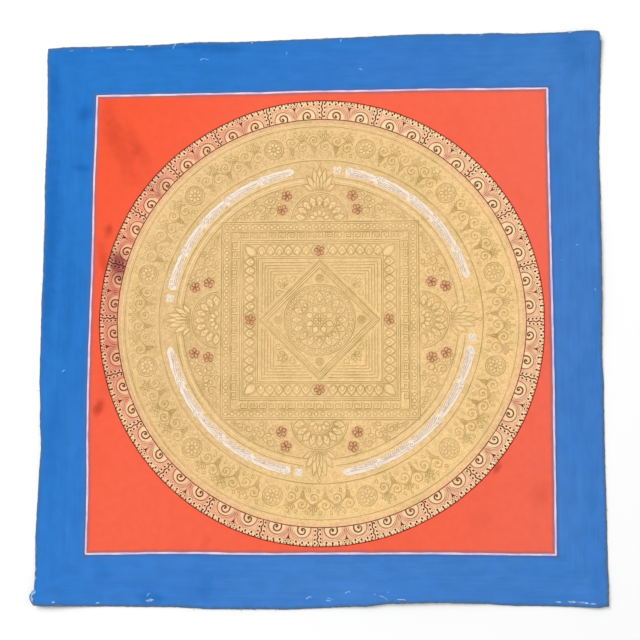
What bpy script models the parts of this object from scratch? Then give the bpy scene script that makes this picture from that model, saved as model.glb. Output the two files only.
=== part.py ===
"""An unmounted scroll painting: one square of primed and painted cotton canvas, lying face up.

Metres, +Z up. The painting's top edge is towards +Y and its painted side faces +Z.
The origin is under the middle of the cloth's bounding box, on the surface that it lies on.
The cloth is one solid sheet. It was cut by hand, so no side is quite straight, and it has been
rolled, so its edges and corners lift off the surface in a few places. The rest lies flat.
"""

import math
from collections import namedtuple

import bpy

# ---- Sheet ----------------------------------------------------------------------------------
THICKNESS = 0.0012      # canvas with its white ground and its paint
DIVISIONS = 52          # quads along each side of the sheet
EDGE_CROWDING = 0.7     # 0 spaces the rows evenly, 1 crowds them most towards the edges

# ---- Outline --------------------------------------------------------------------------------
# The corners of the cut square, about 0.50 m a side, seen from above.
Corner = namedtuple("Corner", "x y")
TOP_LEFT = Corner(-0.2511, 0.2484)
TOP_RIGHT = Corner(0.2519, 0.2545)
BOTTOM_LEFT = Corner(-0.2521, -0.2542)
BOTTOM_RIGHT = Corner(0.2440, -0.2490)

# How an edge wanders off the straight line between its corners. `along` is the share of the
# edge from its left or lower end, `out` is how far it stands outside the line, in metres.
# The first and last rows round off the worn corners.
Wander = namedtuple("Wander", "along out")
TOP_EDGE = (
    Wander(0.00, -0.0016), Wander(0.04, -0.0004), Wander(0.20, -0.0004), Wander(0.25, 0.0003),
    Wander(0.35, -0.0001), Wander(0.50, 0.0006), Wander(0.66, 0.0014), Wander(0.79, 0.0001),
    Wander(0.81, 0.0006), Wander(0.87, -0.0007), Wander(0.93, -0.0009), Wander(0.97, 0.0001),
    Wander(1.00, -0.0010),
)
BOTTOM_EDGE = (
    Wander(0.00, -0.0008), Wander(0.03, 0.0000), Wander(0.24, 0.0002), Wander(0.32, 0.0021),
    Wander(0.44, 0.0025), Wander(0.58, 0.0002), Wander(0.63, -0.0020), Wander(0.71, -0.0026),
    Wander(0.78, -0.0022), Wander(0.85, -0.0006), Wander(0.94, -0.0007), Wander(0.98, 0.0001),
    Wander(1.00, -0.0010),
)
LEFT_EDGE = (
    Wander(0.00, -0.0016), Wander(0.015, 0.0004), Wander(0.04, -0.0007), Wander(0.15, -0.0011),
    Wander(0.23, -0.0024), Wander(0.27, -0.0032), Wander(0.33, -0.0014), Wander(0.40, -0.0001),
    Wander(0.53, -0.0002), Wander(0.59, -0.0013), Wander(0.68, -0.0010), Wander(0.75, -0.0001),
    Wander(0.86, -0.0007), Wander(0.95, -0.0002), Wander(0.98, 0.0007), Wander(1.00, -0.0010),
)
RIGHT_EDGE = (
    Wander(0.00, -0.0008), Wander(0.03, -0.0002), Wander(0.12, -0.0009), Wander(0.29, -0.0019),
    Wander(0.37, -0.0024), Wander(0.43, -0.0032), Wander(0.52, -0.0027), Wander(0.70, -0.0027),
    Wander(0.78, -0.0037), Wander(0.86, -0.0028), Wander(0.94, -0.0022), Wander(0.98, -0.0016),
    Wander(1.00, -0.0026),
)

# ---- Folds ----------------------------------------------------------------------------------
# Places where the sheet lifts off the surface. Each swell is highest at (x, y), which may lie
# just outside the cloth, and falls softly to nothing at reach_x and reach_y from there.
Swell = namedtuple("Swell", "x y reach_x reach_y lift")
SWELLS = (
    Swell(-0.262, -0.264, 0.075, 0.070, 0.0044),    # bottom left corner, bent up
    Swell(0.262, 0.266, 0.095, 0.080, 0.0034),      # top right corner
    Swell(0.256, -0.262, 0.060, 0.052, 0.0024),     # bottom right corner
    Swell(-0.262, 0.260, 0.058, 0.052, 0.0022),     # top left corner
    Swell(0.262, 0.034, 0.048, 0.125, 0.0026),      # long wave in the right edge
    Swell(0.084, -0.264, 0.105, 0.052, 0.0030),     # wave where the bottom edge bows in
    Swell(-0.108, 0.262, 0.036, 0.034, 0.0018),     # short ripple in the top edge
    Swell(0.105, 0.266, 0.085, 0.036, 0.0016),      # wave in the top edge
    Swell(-0.264, -0.116, 0.042, 0.068, 0.0022),    # wave where the left edge dips in
    Swell(-0.262, 0.070, 0.036, 0.080, 0.0014),     # low wave in the left edge
    Swell(-0.150, 0.150, 0.060, 0.034, 0.0009),     # faint buckle in the upper left
    Swell(0.120, -0.140, 0.070, 0.036, 0.0008),     # faint buckle in the lower right
)


def lerp(start, end, share):
    """The point a share of the way from start to end."""
    return tuple(a + (b - a) * share for a, b in zip(start, end))


def wander_at(edge, along):
    """How far an edge stands out at a share of its length, eased between the table's rows."""
    for low, high in zip(edge, edge[1:]):
        if along <= high.along:
            share = (along - low.along) / (high.along - low.along)
            eased = share * share * (3.0 - 2.0 * share)
            return low.out + (high.out - low.out) * eased
    return edge[-1].out


def edge_point(start, end, edge, along):
    """A point of the outline between two corners, with the edge's wander added.

    The corners run clockwise round the cloth, so the outside is on the left of the way.
    """
    run_x, run_y = end.x - start.x, end.y - start.y
    length = math.hypot(run_x, run_y)
    out = wander_at(edge, along)
    x, y = lerp(start, end, along)
    return x - run_y / length * out, y + run_x / length * out


def outline_point(side, share):
    """A point of one side, at a share of its length from its left or lower end."""
    if side == "top":
        return edge_point(TOP_LEFT, TOP_RIGHT, TOP_EDGE, share)
    if side == "left":
        return edge_point(BOTTOM_LEFT, TOP_LEFT, LEFT_EDGE, share)
    if side == "bottom":
        mirrored = tuple(Wander(1.0 - row.along, row.out) for row in reversed(BOTTOM_EDGE))
        return edge_point(BOTTOM_RIGHT, BOTTOM_LEFT, mirrored, 1.0 - share)
    mirrored = tuple(Wander(1.0 - row.along, row.out) for row in reversed(RIGHT_EDGE))
    return edge_point(TOP_RIGHT, BOTTOM_RIGHT, mirrored, 1.0 - share)


def sheet_point(across, up):
    """The place on the cut cloth of a point of the unit square, blended from its four sides."""
    sides_x = lerp(outline_point("left", up), outline_point("right", up), across)
    sides_y = lerp(outline_point("bottom", across), outline_point("top", across), up)
    low = lerp(BOTTOM_LEFT, BOTTOM_RIGHT, across)
    high = lerp(TOP_LEFT, TOP_RIGHT, across)
    corners = lerp(low, high, up)
    return tuple(a + b - c for a, b, c in zip(sides_x, sides_y, corners))


def crowded(share):
    """Move an even share of the width towards the nearer edge, where the swells are."""
    wave = 0.5 - 0.5 * math.cos(math.pi * share)
    return (1.0 - EDGE_CROWDING) * share + EDGE_CROWDING * wave


def lift_at(x, y):
    """How high the underside of the sheet lies above the surface."""
    height = 0.0
    for swell in SWELLS:
        away = ((x - swell.x) / swell.reach_x) ** 2 + ((y - swell.y) / swell.reach_y) ** 2
        if away < 1.0:
            height += swell.lift * (1.0 - away) ** 2
    return height


def canvas_material():
    """One plain matt finish for the sheet: the mean colour of its blue, red and gold paint."""
    material = bpy.data.materials.new("painted_canvas")
    material.use_nodes = True
    shader = material.node_tree.nodes["Principled BSDF"]
    shader.inputs["Base Color"].default_value = (0.66, 0.26, 0.11, 1.0)
    shader.inputs["Roughness"].default_value = 0.7
    shader.inputs["Metallic"].default_value = 0.0
    material.diffuse_color = (0.66, 0.26, 0.11, 1.0)
    return material


def painted_cloth(collection):
    """The cloth: a grid laid to the outline and the folds, then given its thickness."""
    bpy.ops.mesh.primitive_grid_add(x_subdivisions=DIVISIONS, y_subdivisions=DIVISIONS, size=2.0)
    cloth = bpy.context.object
    cloth.name = cloth.data.name = "painted_cloth"
    vertices = cloth.data.vertices
    for vertex in vertices:
        across = crowded((vertex.co.x + 1.0) / 2.0)
        up = crowded((vertex.co.y + 1.0) / 2.0)
        x, y = sheet_point(across, up)
        vertex.co = (x, y, lift_at(x, y))
    xs = [vertex.co.x for vertex in vertices]
    ys = [vertex.co.y for vertex in vertices]
    middle_x, middle_y = (min(xs) + max(xs)) / 2.0, (min(ys) + max(ys)) / 2.0
    for vertex in vertices:
        vertex.co.x -= middle_x
        vertex.co.y -= middle_y
    cloth.data.shade_smooth()
    body = cloth.modifiers.new("thickness", "SOLIDIFY")
    body.thickness = THICKNESS
    body.offset = 1.0
    cloth.data.materials.append(canvas_material())
    for home in list(cloth.users_collection):
        home.objects.unlink(cloth)
    collection.objects.link(cloth)
    return cloth


def main():
    """Clear the scene and build the painting in a collection of its own."""
    for item in list(bpy.data.objects):
        bpy.data.objects.remove(item, do_unlink=True)
    collection = bpy.data.collections.new("scroll_painting")
    bpy.context.scene.collection.children.link(collection)
    painted_cloth(collection)


main()
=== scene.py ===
"""The looks of an unmounted scroll painting: a hand-cut cotton canvas, its paint and its wear.

The frame is in metres, +Z up, with the painting's top edge towards +Y and its painted side up.
The painter's work is drawn in millimetres, seen from above, about the middle of the gold disc,
and every stroke is then laid on the folds of the cloth. Bearings are degrees clockwise from the
painting's top edge.
"""

from __future__ import annotations

import logging
import math
from dataclasses import dataclass, field
from enum import Enum
from typing import Callable, NamedTuple, Sequence

import bpy
import numpy as np
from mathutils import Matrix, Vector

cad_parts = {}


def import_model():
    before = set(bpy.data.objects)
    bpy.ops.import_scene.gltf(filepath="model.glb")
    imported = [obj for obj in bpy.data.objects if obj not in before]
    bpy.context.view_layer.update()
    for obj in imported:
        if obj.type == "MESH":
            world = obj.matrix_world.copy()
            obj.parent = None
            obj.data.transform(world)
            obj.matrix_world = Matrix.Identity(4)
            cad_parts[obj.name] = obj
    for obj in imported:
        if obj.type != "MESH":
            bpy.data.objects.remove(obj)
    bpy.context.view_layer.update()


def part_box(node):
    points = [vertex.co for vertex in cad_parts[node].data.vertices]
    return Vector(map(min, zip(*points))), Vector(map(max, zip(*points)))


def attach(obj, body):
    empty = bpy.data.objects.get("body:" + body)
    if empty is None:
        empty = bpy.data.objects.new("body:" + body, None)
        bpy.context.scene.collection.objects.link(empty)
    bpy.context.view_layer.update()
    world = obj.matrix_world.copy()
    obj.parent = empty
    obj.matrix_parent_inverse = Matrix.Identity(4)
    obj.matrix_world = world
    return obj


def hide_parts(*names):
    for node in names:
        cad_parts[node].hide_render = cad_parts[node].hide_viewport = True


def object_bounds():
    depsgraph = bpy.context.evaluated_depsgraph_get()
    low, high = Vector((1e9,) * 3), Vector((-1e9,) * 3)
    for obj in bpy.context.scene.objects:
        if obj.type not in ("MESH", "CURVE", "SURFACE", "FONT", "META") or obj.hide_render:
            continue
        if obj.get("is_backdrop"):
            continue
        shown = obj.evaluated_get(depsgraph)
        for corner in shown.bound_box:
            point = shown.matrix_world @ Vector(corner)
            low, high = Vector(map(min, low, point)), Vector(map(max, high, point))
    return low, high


Array = np.ndarray
Socket = bpy.types.NodeSocket
Node = bpy.types.Node
Tree = bpy.types.NodeTree
Piece = bpy.types.Object
Colour = tuple[float, float, float, float]
Pair = tuple[float, float]
Triple = tuple[float, float, float]
Bend = Callable[[Array], Array]

LOG = logging.getLogger("scroll_painting")
CLOTH_NODE = "painted_cloth"
BODY = "root"
PLAN_MAP = "OFBake"  # the map that lays a piece out as seen from above
PLAN_SIDE = 0.56  # the side of the square that the map covers, in metres
MM = 0.001
LIGHT = 1.15  # how bright a white surface lies under the studio's lights
SHEEN = 0.006  # what a matt surface reflects of the studio, whatever its colour
DISC_AT = (0.4, -4.2)  # the middle of the gold disc in the frame, in millimetres
MIDDLE = (0.0, 0.0)
SIDES = (0.0, 90.0, 180.0, 270.0)
FIRST_TURN = 6.3  # a swing starts anywhere in about one turn, in radians


class Spot(NamedTuple):
    """A place on the cloth as seen from above."""

    x: float
    y: float


class Swell(NamedTuple):
    """A place where the cloth lifts, falling softly to nothing at its reach."""

    x: float
    y: float
    reach_x: float
    reach_y: float
    lift: float


class Slot(Enum):
    """The record's material slots."""

    CANVAS = "painted_canvas"
    RAW = "raw_canvas"
    BLUE = "blue_paint"
    RED = "red_paint"
    GOLD = "gold_paint"
    WHITE = "white_paint"
    LINE = "line_paint"


def shade(red: float, green: float, blue: float) -> Colour:
    """The colour of a surface that the studio's light shows as these screen values.

    Args:
        red, green, blue: what the surface looks like in the picture, from 0 to 255.

    Returns:
        The linear colour of the surface, with full alpha.
    """
    def linear(value: float) -> float:
        """One screen value as light."""
        share = value / 255.0
        return share / 12.92 if share <= 0.04045 else ((share + 0.055) / 1.055) ** 2.4

    return (*(max(linear(v) - SHEEN, 0.001) / LIGHT for v in (red, green, blue)), 1.0)


# ---- Shapes on paper ----


def polar(radius: Array | float, bearing: Array | float) -> Array:
    """Points at these radii and bearings, one row each."""
    radius, turn = np.broadcast_arrays(np.asarray(radius, float), np.radians(bearing))
    return np.stack((radius * np.sin(turn), radius * np.cos(turn)), -1)


def around(count: int) -> Array:
    """Even bearings round a circle, from the top."""
    return np.linspace(0.0, 360.0, count, endpoint=False)


def turned(points: Array, bearing: float) -> Array:
    """Points turned clockwise about the origin."""
    turn = math.radians(bearing)
    spin = np.array(((math.cos(turn), -math.sin(turn)), (math.sin(turn), math.cos(turn))))
    return np.asarray(points, float) @ spin


def placed(points: Array, at: Sequence[float], bearing: float = 0.0) -> Array:
    """A motif drawn about the origin, turned clockwise and moved to a place."""
    return turned(points, bearing) + np.asarray(at, float)


def bent(points: Array, radius: float, bearing: float) -> Array:
    """A motif drawn along a straight line, bent round the disc.

    Args:
        points: x along the line and y outward from it.
        radius: the radius that the line takes.
        bearing: where x is zero.

    Returns:
        The bent points.
    """
    points = np.asarray(points, float)
    return polar(radius + points[:, 1], bearing + np.degrees(points[:, 0] / radius))


def one(put: Bend, x: float, y: float) -> Array:
    """One point, moved as `put` moves a whole drawing."""
    return put(np.array(((x, y),)))[0]


def arc(radius: float, start: float, end: float, at: Sequence[float] = MIDDLE) -> Array:
    """An arc between two bearings, with a point about every millimetre."""
    steps = max(8, int(abs(math.radians(end - start)) * radius))
    return polar(radius, np.linspace(start, end, steps + 1)) + np.asarray(at, float)


def ring(radius: float, at: Sequence[float] = MIDDLE) -> Array:
    """A full circle whose last point is left out, for a closed stroke."""
    return arc(radius, 0.0, 360.0, at)[:-1]


def curl(start: float, sweep: float, wide: float, tight: float,
         at: Sequence[float] = MIDDLE) -> Array:
    """A spiral from its wide end to its tight one.

    Args:
        start: the bearing of the wide end from the middle.
        sweep: how far it turns, clockwise if positive.
        wide, tight: the radii of its two ends.
        at: its middle.

    Returns:
        Points about every half millimetre.
    """
    steps = max(10, int(abs(math.radians(sweep)) * (wide + tight)))
    share = np.linspace(0.0, 1.0, steps + 1)
    return polar(wide + (tight - wide) * share, start + sweep * share) + np.asarray(at, float)


def petal(length: float, width: float, lean: float = 0.0) -> Array:
    """The closed outline of a leaf or petal that stands on the origin and points up.

    Args:
        length, width: its size.
        lean: how far its tip is drawn sideways.

    Returns:
        Points round it, from its foot up its right side and down its left.
    """
    share = np.linspace(0.0, 1.0, 9)
    half = 0.5 * width * np.sin(np.pi * share ** 0.75) ** 0.85
    side, up = lean * share ** 2, length * share
    right, left = np.stack((side + half, up), -1), np.stack((side - half, up), -1)
    return np.concatenate((right, left[-2:0:-1]))


def wave(length: float, pitch: float, height: float) -> Array:
    """A wavy line centred on the origin, with a point about every millimetre."""
    along = np.linspace(-length / 2.0, length / 2.0, int(length) + 1)
    return np.stack((along, height * np.sin(2.0 * np.pi * along / pitch)), -1)


def uneven(along: Array, total: float, lengths: Sequence[float],
           rng: np.random.Generator) -> Array:
    """A smooth swing between about -1 and 1 that also joins up round a closed line.

    Args:
        along: how far along the line each point lies.
        total: the line's length.
        lengths: about how long each of the swings that add up is.
        rng: gives each swing its start.

    Returns:
        The swing at each point.
    """
    value = np.zeros_like(along)
    for length in lengths:
        turns = max(1, round(total / length))
        value += np.sin(2.0 * np.pi * turns * along / total + rng.uniform(0.0, 2.0 * np.pi))
    return value / (0.75 * len(lengths))


def spaced(path: Array, step: float, closed: bool) -> tuple[Array, Array, float]:
    """A path with its points put an even step apart.

    Args:
        path: the path's own points.
        step: the wanted distance between points.
        closed: whether the path ends where it starts.

    Returns:
        The points, how far along the path each lies, and the path's length.
    """
    if closed:
        path = np.concatenate((path, path[:1]))
    run = np.hypot(*np.diff(path, axis=0).T)
    reach = np.concatenate(((0.0,), np.cumsum(run)))
    count = max(6 if closed else 2, math.ceil(reach[-1] / step))
    along = np.linspace(0.0, reach[-1], count + 1)
    points = np.stack([np.interp(along, reach, axis) for axis in path.T], -1)
    return (points[:-1], along[:-1], reach[-1]) if closed else (points, along, reach[-1])


def grid_faces(rows: int, columns: int, closed: bool, first: int = 0) -> Array:
    """The quads of a grid of points that is stored row by row.

    Args:
        rows, columns: how many points it has each way.
        closed: whether each row's last point joins its first.
        first: the number of the grid's first point.

    Returns:
        One row of four point numbers for each quad.
    """
    row, column = np.meshgrid(
        np.arange(rows - 1), np.arange(columns if closed else columns - 1), indexing="ij")
    here, right = row * columns + column, row * columns + (column + 1) % columns
    return np.stack((here, right, right + columns, here + columns), -1).reshape(-1, 4) + first


# ---- The cloth's shape ----

FRAY = 0.0008  # how far the threads of the cut stand outside the solid's edge


@dataclass(frozen=True)
class CutEdge:
    """One hand-cut edge, from its left or lower corner to its right or upper one.

    `outside` is 1 where the outside lies on the left of the way, and -1 where on the right.
    """

    start: Spot
    end: Spot
    outside: float
    wander: tuple[Pair, ...]  # shares of its length, and how far it stands outside the line

    def at(self, share: Array) -> Array:
        """Points of the edge at shares of its length."""
        rows = np.array(self.wander)
        place = np.clip(np.searchsorted(rows[:, 0], share) - 1, 0, len(rows) - 2)
        low, high = rows[place], rows[place + 1]
        eased = np.clip((share - low[:, 0]) / (high[:, 0] - low[:, 0]), 0.0, 1.0)
        eased = eased * eased * (3.0 - 2.0 * eased)
        out = FRAY + low[:, 1] + (high[:, 1] - low[:, 1]) * eased
        run = np.subtract(self.end, self.start)
        away = self.outside * np.array((-run[1], run[0])) / np.hypot(*run)
        return self.start + run * share[:, None] + away * out[:, None]


SOLID_MIDDLE = (-0.00117, -0.00009)  # the middle of the solid's outline, by these corners
TOP_LEFT, TOP_RIGHT = Spot(-0.2511, 0.2484), Spot(0.2519, 0.2545)
BOTTOM_LEFT, BOTTOM_RIGHT = Spot(-0.2521, -0.2542), Spot(0.2440, -0.2490)

TOP = CutEdge(TOP_LEFT, TOP_RIGHT, 1.0, (
    (0.00, -0.0016), (0.04, -0.0004), (0.20, -0.0004), (0.25, 0.0003), (0.35, -0.0001),
    (0.50, 0.0006), (0.66, 0.0014), (0.79, 0.0001), (0.81, 0.0006), (0.87, -0.0007),
    (0.93, -0.0012), (0.97, -0.0007), (0.99, -0.0008), (1.00, -0.0020)))
BOTTOM = CutEdge(BOTTOM_LEFT, BOTTOM_RIGHT, -1.0, (
    (0.00, -0.0008), (0.03, 0.0000), (0.12, 0.0005), (0.24, 0.0010), (0.32, 0.0029),
    (0.44, 0.0030), (0.58, 0.0003), (0.63, -0.0023), (0.71, -0.0030), (0.78, -0.0022),
    (0.85, -0.0002), (0.94, 0.0005), (0.98, 0.0013), (1.00, 0.0000)))
LEFT = CutEdge(BOTTOM_LEFT, TOP_LEFT, 1.0, (
    (0.00, -0.0022), (0.010, 0.0012), (0.018, 0.0017), (0.028, -0.0022), (0.06, -0.0022),
    (0.11, -0.0010), (0.15, -0.0014), (0.23, -0.0030), (0.27, -0.0041), (0.33, -0.0023),
    (0.40, -0.0005), (0.53, -0.0005), (0.59, -0.0013), (0.68, -0.0014), (0.75, -0.0005),
    (0.86, -0.0010), (0.95, -0.0002), (0.98, 0.0002), (1.00, -0.0004)))
RIGHT = CutEdge(BOTTOM_RIGHT, TOP_RIGHT, -1.0, (
    (0.00, 0.0003), (0.03, 0.0006), (0.12, -0.0001), (0.29, -0.0013), (0.37, -0.0016),
    (0.43, -0.0028), (0.52, -0.0024), (0.70, -0.0027), (0.78, -0.0033), (0.86, -0.0022),
    (0.94, -0.0016), (0.985, -0.0010), (1.00, -0.0028)))

SWELLS = (
    Swell(-0.262, -0.264, 0.075, 0.070, 0.0044),  # bottom left corner, bent up
    Swell(0.262, 0.266, 0.095, 0.080, 0.0034),  # top right corner
    Swell(0.256, -0.262, 0.060, 0.052, 0.0024),  # bottom right corner
    Swell(-0.262, 0.260, 0.058, 0.052, 0.0022),  # top left corner
    Swell(0.262, 0.034, 0.048, 0.125, 0.0026),  # long wave in the right edge
    Swell(0.084, -0.264, 0.105, 0.052, 0.0030),  # wave where the bottom edge bows in
    Swell(-0.108, 0.262, 0.036, 0.034, 0.0018),  # short ripple in the top edge
    Swell(0.105, 0.266, 0.085, 0.036, 0.0016),  # wave in the top edge
    Swell(-0.264, -0.116, 0.042, 0.068, 0.0022),  # wave where the left edge dips in
    Swell(-0.262, 0.070, 0.036, 0.080, 0.0014),  # low wave in the left edge
    Swell(-0.150, 0.150, 0.060, 0.034, 0.0009),  # faint buckle in the upper left
    Swell(0.120, -0.140, 0.070, 0.036, 0.0008),  # faint buckle in the lower right
)


@dataclass
class Cloth:
    """The shape of the canvas: its outline, its folds and its upper surface.

    `shift` moves the outline from the corners' origin to the solid's place in the frame.
    """

    thickness: float = 0.0012
    cockle: float = 0.00010  # how uneven the sized canvas lies between its folds
    cockles: tuple[float, ...] = (0.140, 0.090, 0.061, 0.043, 0.031)  # how long each swing is
    sunk: float = 0.6  # how many cockles their middle lies under the solid's top
    cockle_seed: int = 4
    shift: Array = field(init=False)

    def __post_init__(self) -> None:
        """Find the shift from the frame."""
        low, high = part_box(CLOTH_NODE)
        middle = np.array(((low.x + high.x) / 2.0, (low.y + high.y) / 2.0))
        self.shift = middle - SOLID_MIDDLE

    def spot(self, across: Array, up: Array) -> Array:
        """Places on the cloth of points of the unit square, blended from its four edges."""
        u, v = across[:, None], up[:, None]
        sides = LEFT.at(up) * (1.0 - u) + RIGHT.at(up) * u
        ends = BOTTOM.at(across) * (1.0 - v) + TOP.at(across) * v
        low = np.array(BOTTOM_LEFT) * (1.0 - u) + np.array(BOTTOM_RIGHT) * u
        high = np.array(TOP_LEFT) * (1.0 - u) + np.array(TOP_RIGHT) * u
        return sides + ends - (low * (1.0 - v) + high * v) + self.shift

    def rim(self, count: int) -> Array:
        """The cut outline, clockwise from its top left corner, with `count` points a side."""
        share, ones = np.arange(count) / count, np.ones(count)
        across = np.concatenate((share, ones, 1.0 - share, 0.0 * ones))
        up = np.concatenate((ones, 1.0 - share, 0.0 * ones, share))
        return self.spot(across, up)

    def lift(self, spots: Array) -> Array:
        """How high the underside lies above the surface at each place."""
        height = np.zeros(len(spots))
        for swell in SWELLS:
            x = (spots[:, 0] - self.shift[0] - swell.x) / swell.reach_x
            y = (spots[:, 1] - self.shift[1] - swell.y) / swell.reach_y
            height += swell.lift * np.clip(1.0 - x * x - y * y, 0.0, None) ** 2
        return height

    def top(self, spots: Array) -> Array:
        """The height of the cloth's upper surface at each place."""
        rng = np.random.default_rng(self.cockle_seed)
        swing = np.zeros(len(spots))
        for length in self.cockles:
            heading = rng.uniform(0.0, np.pi)
            along = spots @ (math.cos(heading), math.sin(heading))
            start = rng.uniform(0.0, FIRST_TURN)
            swing += np.sin(2.0 * np.pi * along / length + start) / len(self.cockles)
        return self.lift(spots) + self.thickness + self.cockle * (swing - self.sunk)


# ---- Finishes ----


class Graph:
    """A shader node tree that is written from its inputs to its output."""

    def __init__(self, tree: Tree) -> None:
        """Start on a tree."""
        self.tree = tree

    def feed(self, socket: Socket, value: Socket | float | Sequence[float]) -> None:
        """Link a socket to another node's output, or set its value."""
        if isinstance(value, Socket):
            self.tree.links.new(value, socket)
        else:
            socket.default_value = value

    def add(self, kind: str, values: dict | None = None, **options: object) -> Node:
        """Add a node.

        Args:
            kind: the node's type.
            values: what each input, by name or number, is linked or set to.
            options: the node's own settings.

        Returns:
            The node.
        """
        node = self.tree.nodes.new(kind)
        for name, option in options.items():
            setattr(node, name, option)
        for key, value in (values or {}).items():
            self.feed(node.inputs[key], value)
        return node

    def math(self, operation: str, *values: Socket | float) -> Socket:
        """The result of a Math node."""
        return self.add("ShaderNodeMath", dict(enumerate(values)), operation=operation).outputs[0]

    def vector(self, operation: str, *values: Socket | Sequence[float]) -> Socket:
        """The result of a Vector Math node."""
        node = self.add("ShaderNodeVectorMath", dict(enumerate(values)), operation=operation)
        return node.outputs[0]

    def scaled(self, vector: Socket, scale: Socket | float) -> Socket:
        """A vector or a colour, multiplied by a number."""
        node = self.add("ShaderNodeVectorMath", {0: vector, "Scale": scale}, operation="SCALE")
        return node.outputs[0]

    def mix(self, share: Socket | float, first: Socket | Colour, second: Socket | Colour,
            blend: str = "MIX") -> Socket:
        """The first colour with a share of the second laid over it."""
        values = {0: share, 6: first, 7: second}  # 6 and 7 are its colours A and B
        node = self.add("ShaderNodeMix", values, data_type="RGBA", blend_type=blend)
        return node.outputs[2]

    def remap(self, value: Socket, low: float, high: float, start: float = 0.0,
              end: float = 1.0) -> Socket:
        """A value eased from `start` to `end` as it goes from `low` to `high`."""
        values = {0: value, 1: low, 2: high, 3: start, 4: end}
        node = self.add("ShaderNodeMapRange", values, interpolation_type="SMOOTHSTEP")
        return node.outputs[0]

    def noise(self, vector: Socket, scale: Socket | float, detail: float = 2.0,
              roughness: float = 0.5) -> Socket:
        """A Noise texture's value."""
        values = {"Vector": vector, "Scale": scale, "Detail": detail, "Roughness": roughness}
        return self.add("ShaderNodeTexNoise", values).outputs[0]

    def place(self) -> Socket:
        """Where a point of the surface lies in the frame, in millimetres."""
        return self.scaled(self.add("ShaderNodeTexCoord").outputs["Object"], 1.0 / MM)

    def axes(self, vector: Socket) -> tuple[Socket, Socket]:
        """A vector's X and Y."""
        node = self.add("ShaderNodeSeparateXYZ", {0: vector})
        return node.outputs[0], node.outputs[1]

    def mark(self, name: str) -> Socket:
        """A value that the mesh carries at its points."""
        return self.add("ShaderNodeAttribute", attribute_name=name).outputs["Fac"]

    def effect(self, tree: Tree, **values: Socket | float) -> dict[str, Socket]:
        """Place a shared effect with this finish's own values.

        Args:
            tree: the effect's node group.
            values: its inputs, by name.

        Returns:
            Its outputs, by name.
        """
        node = self.add("ShaderNodeGroup", node_tree=tree)
        for name, value in values.items():
            self.feed(node.inputs[name.capitalize()], value)
        return {socket.name: socket for socket in node.outputs}


class Stain(NamedTuple):
    """A rubbed or wetted place, in millimetres in the frame, drawn out along its bearing."""

    x: float
    y: float
    long: float
    wide: float
    bearing: float
    strength: float


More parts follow.
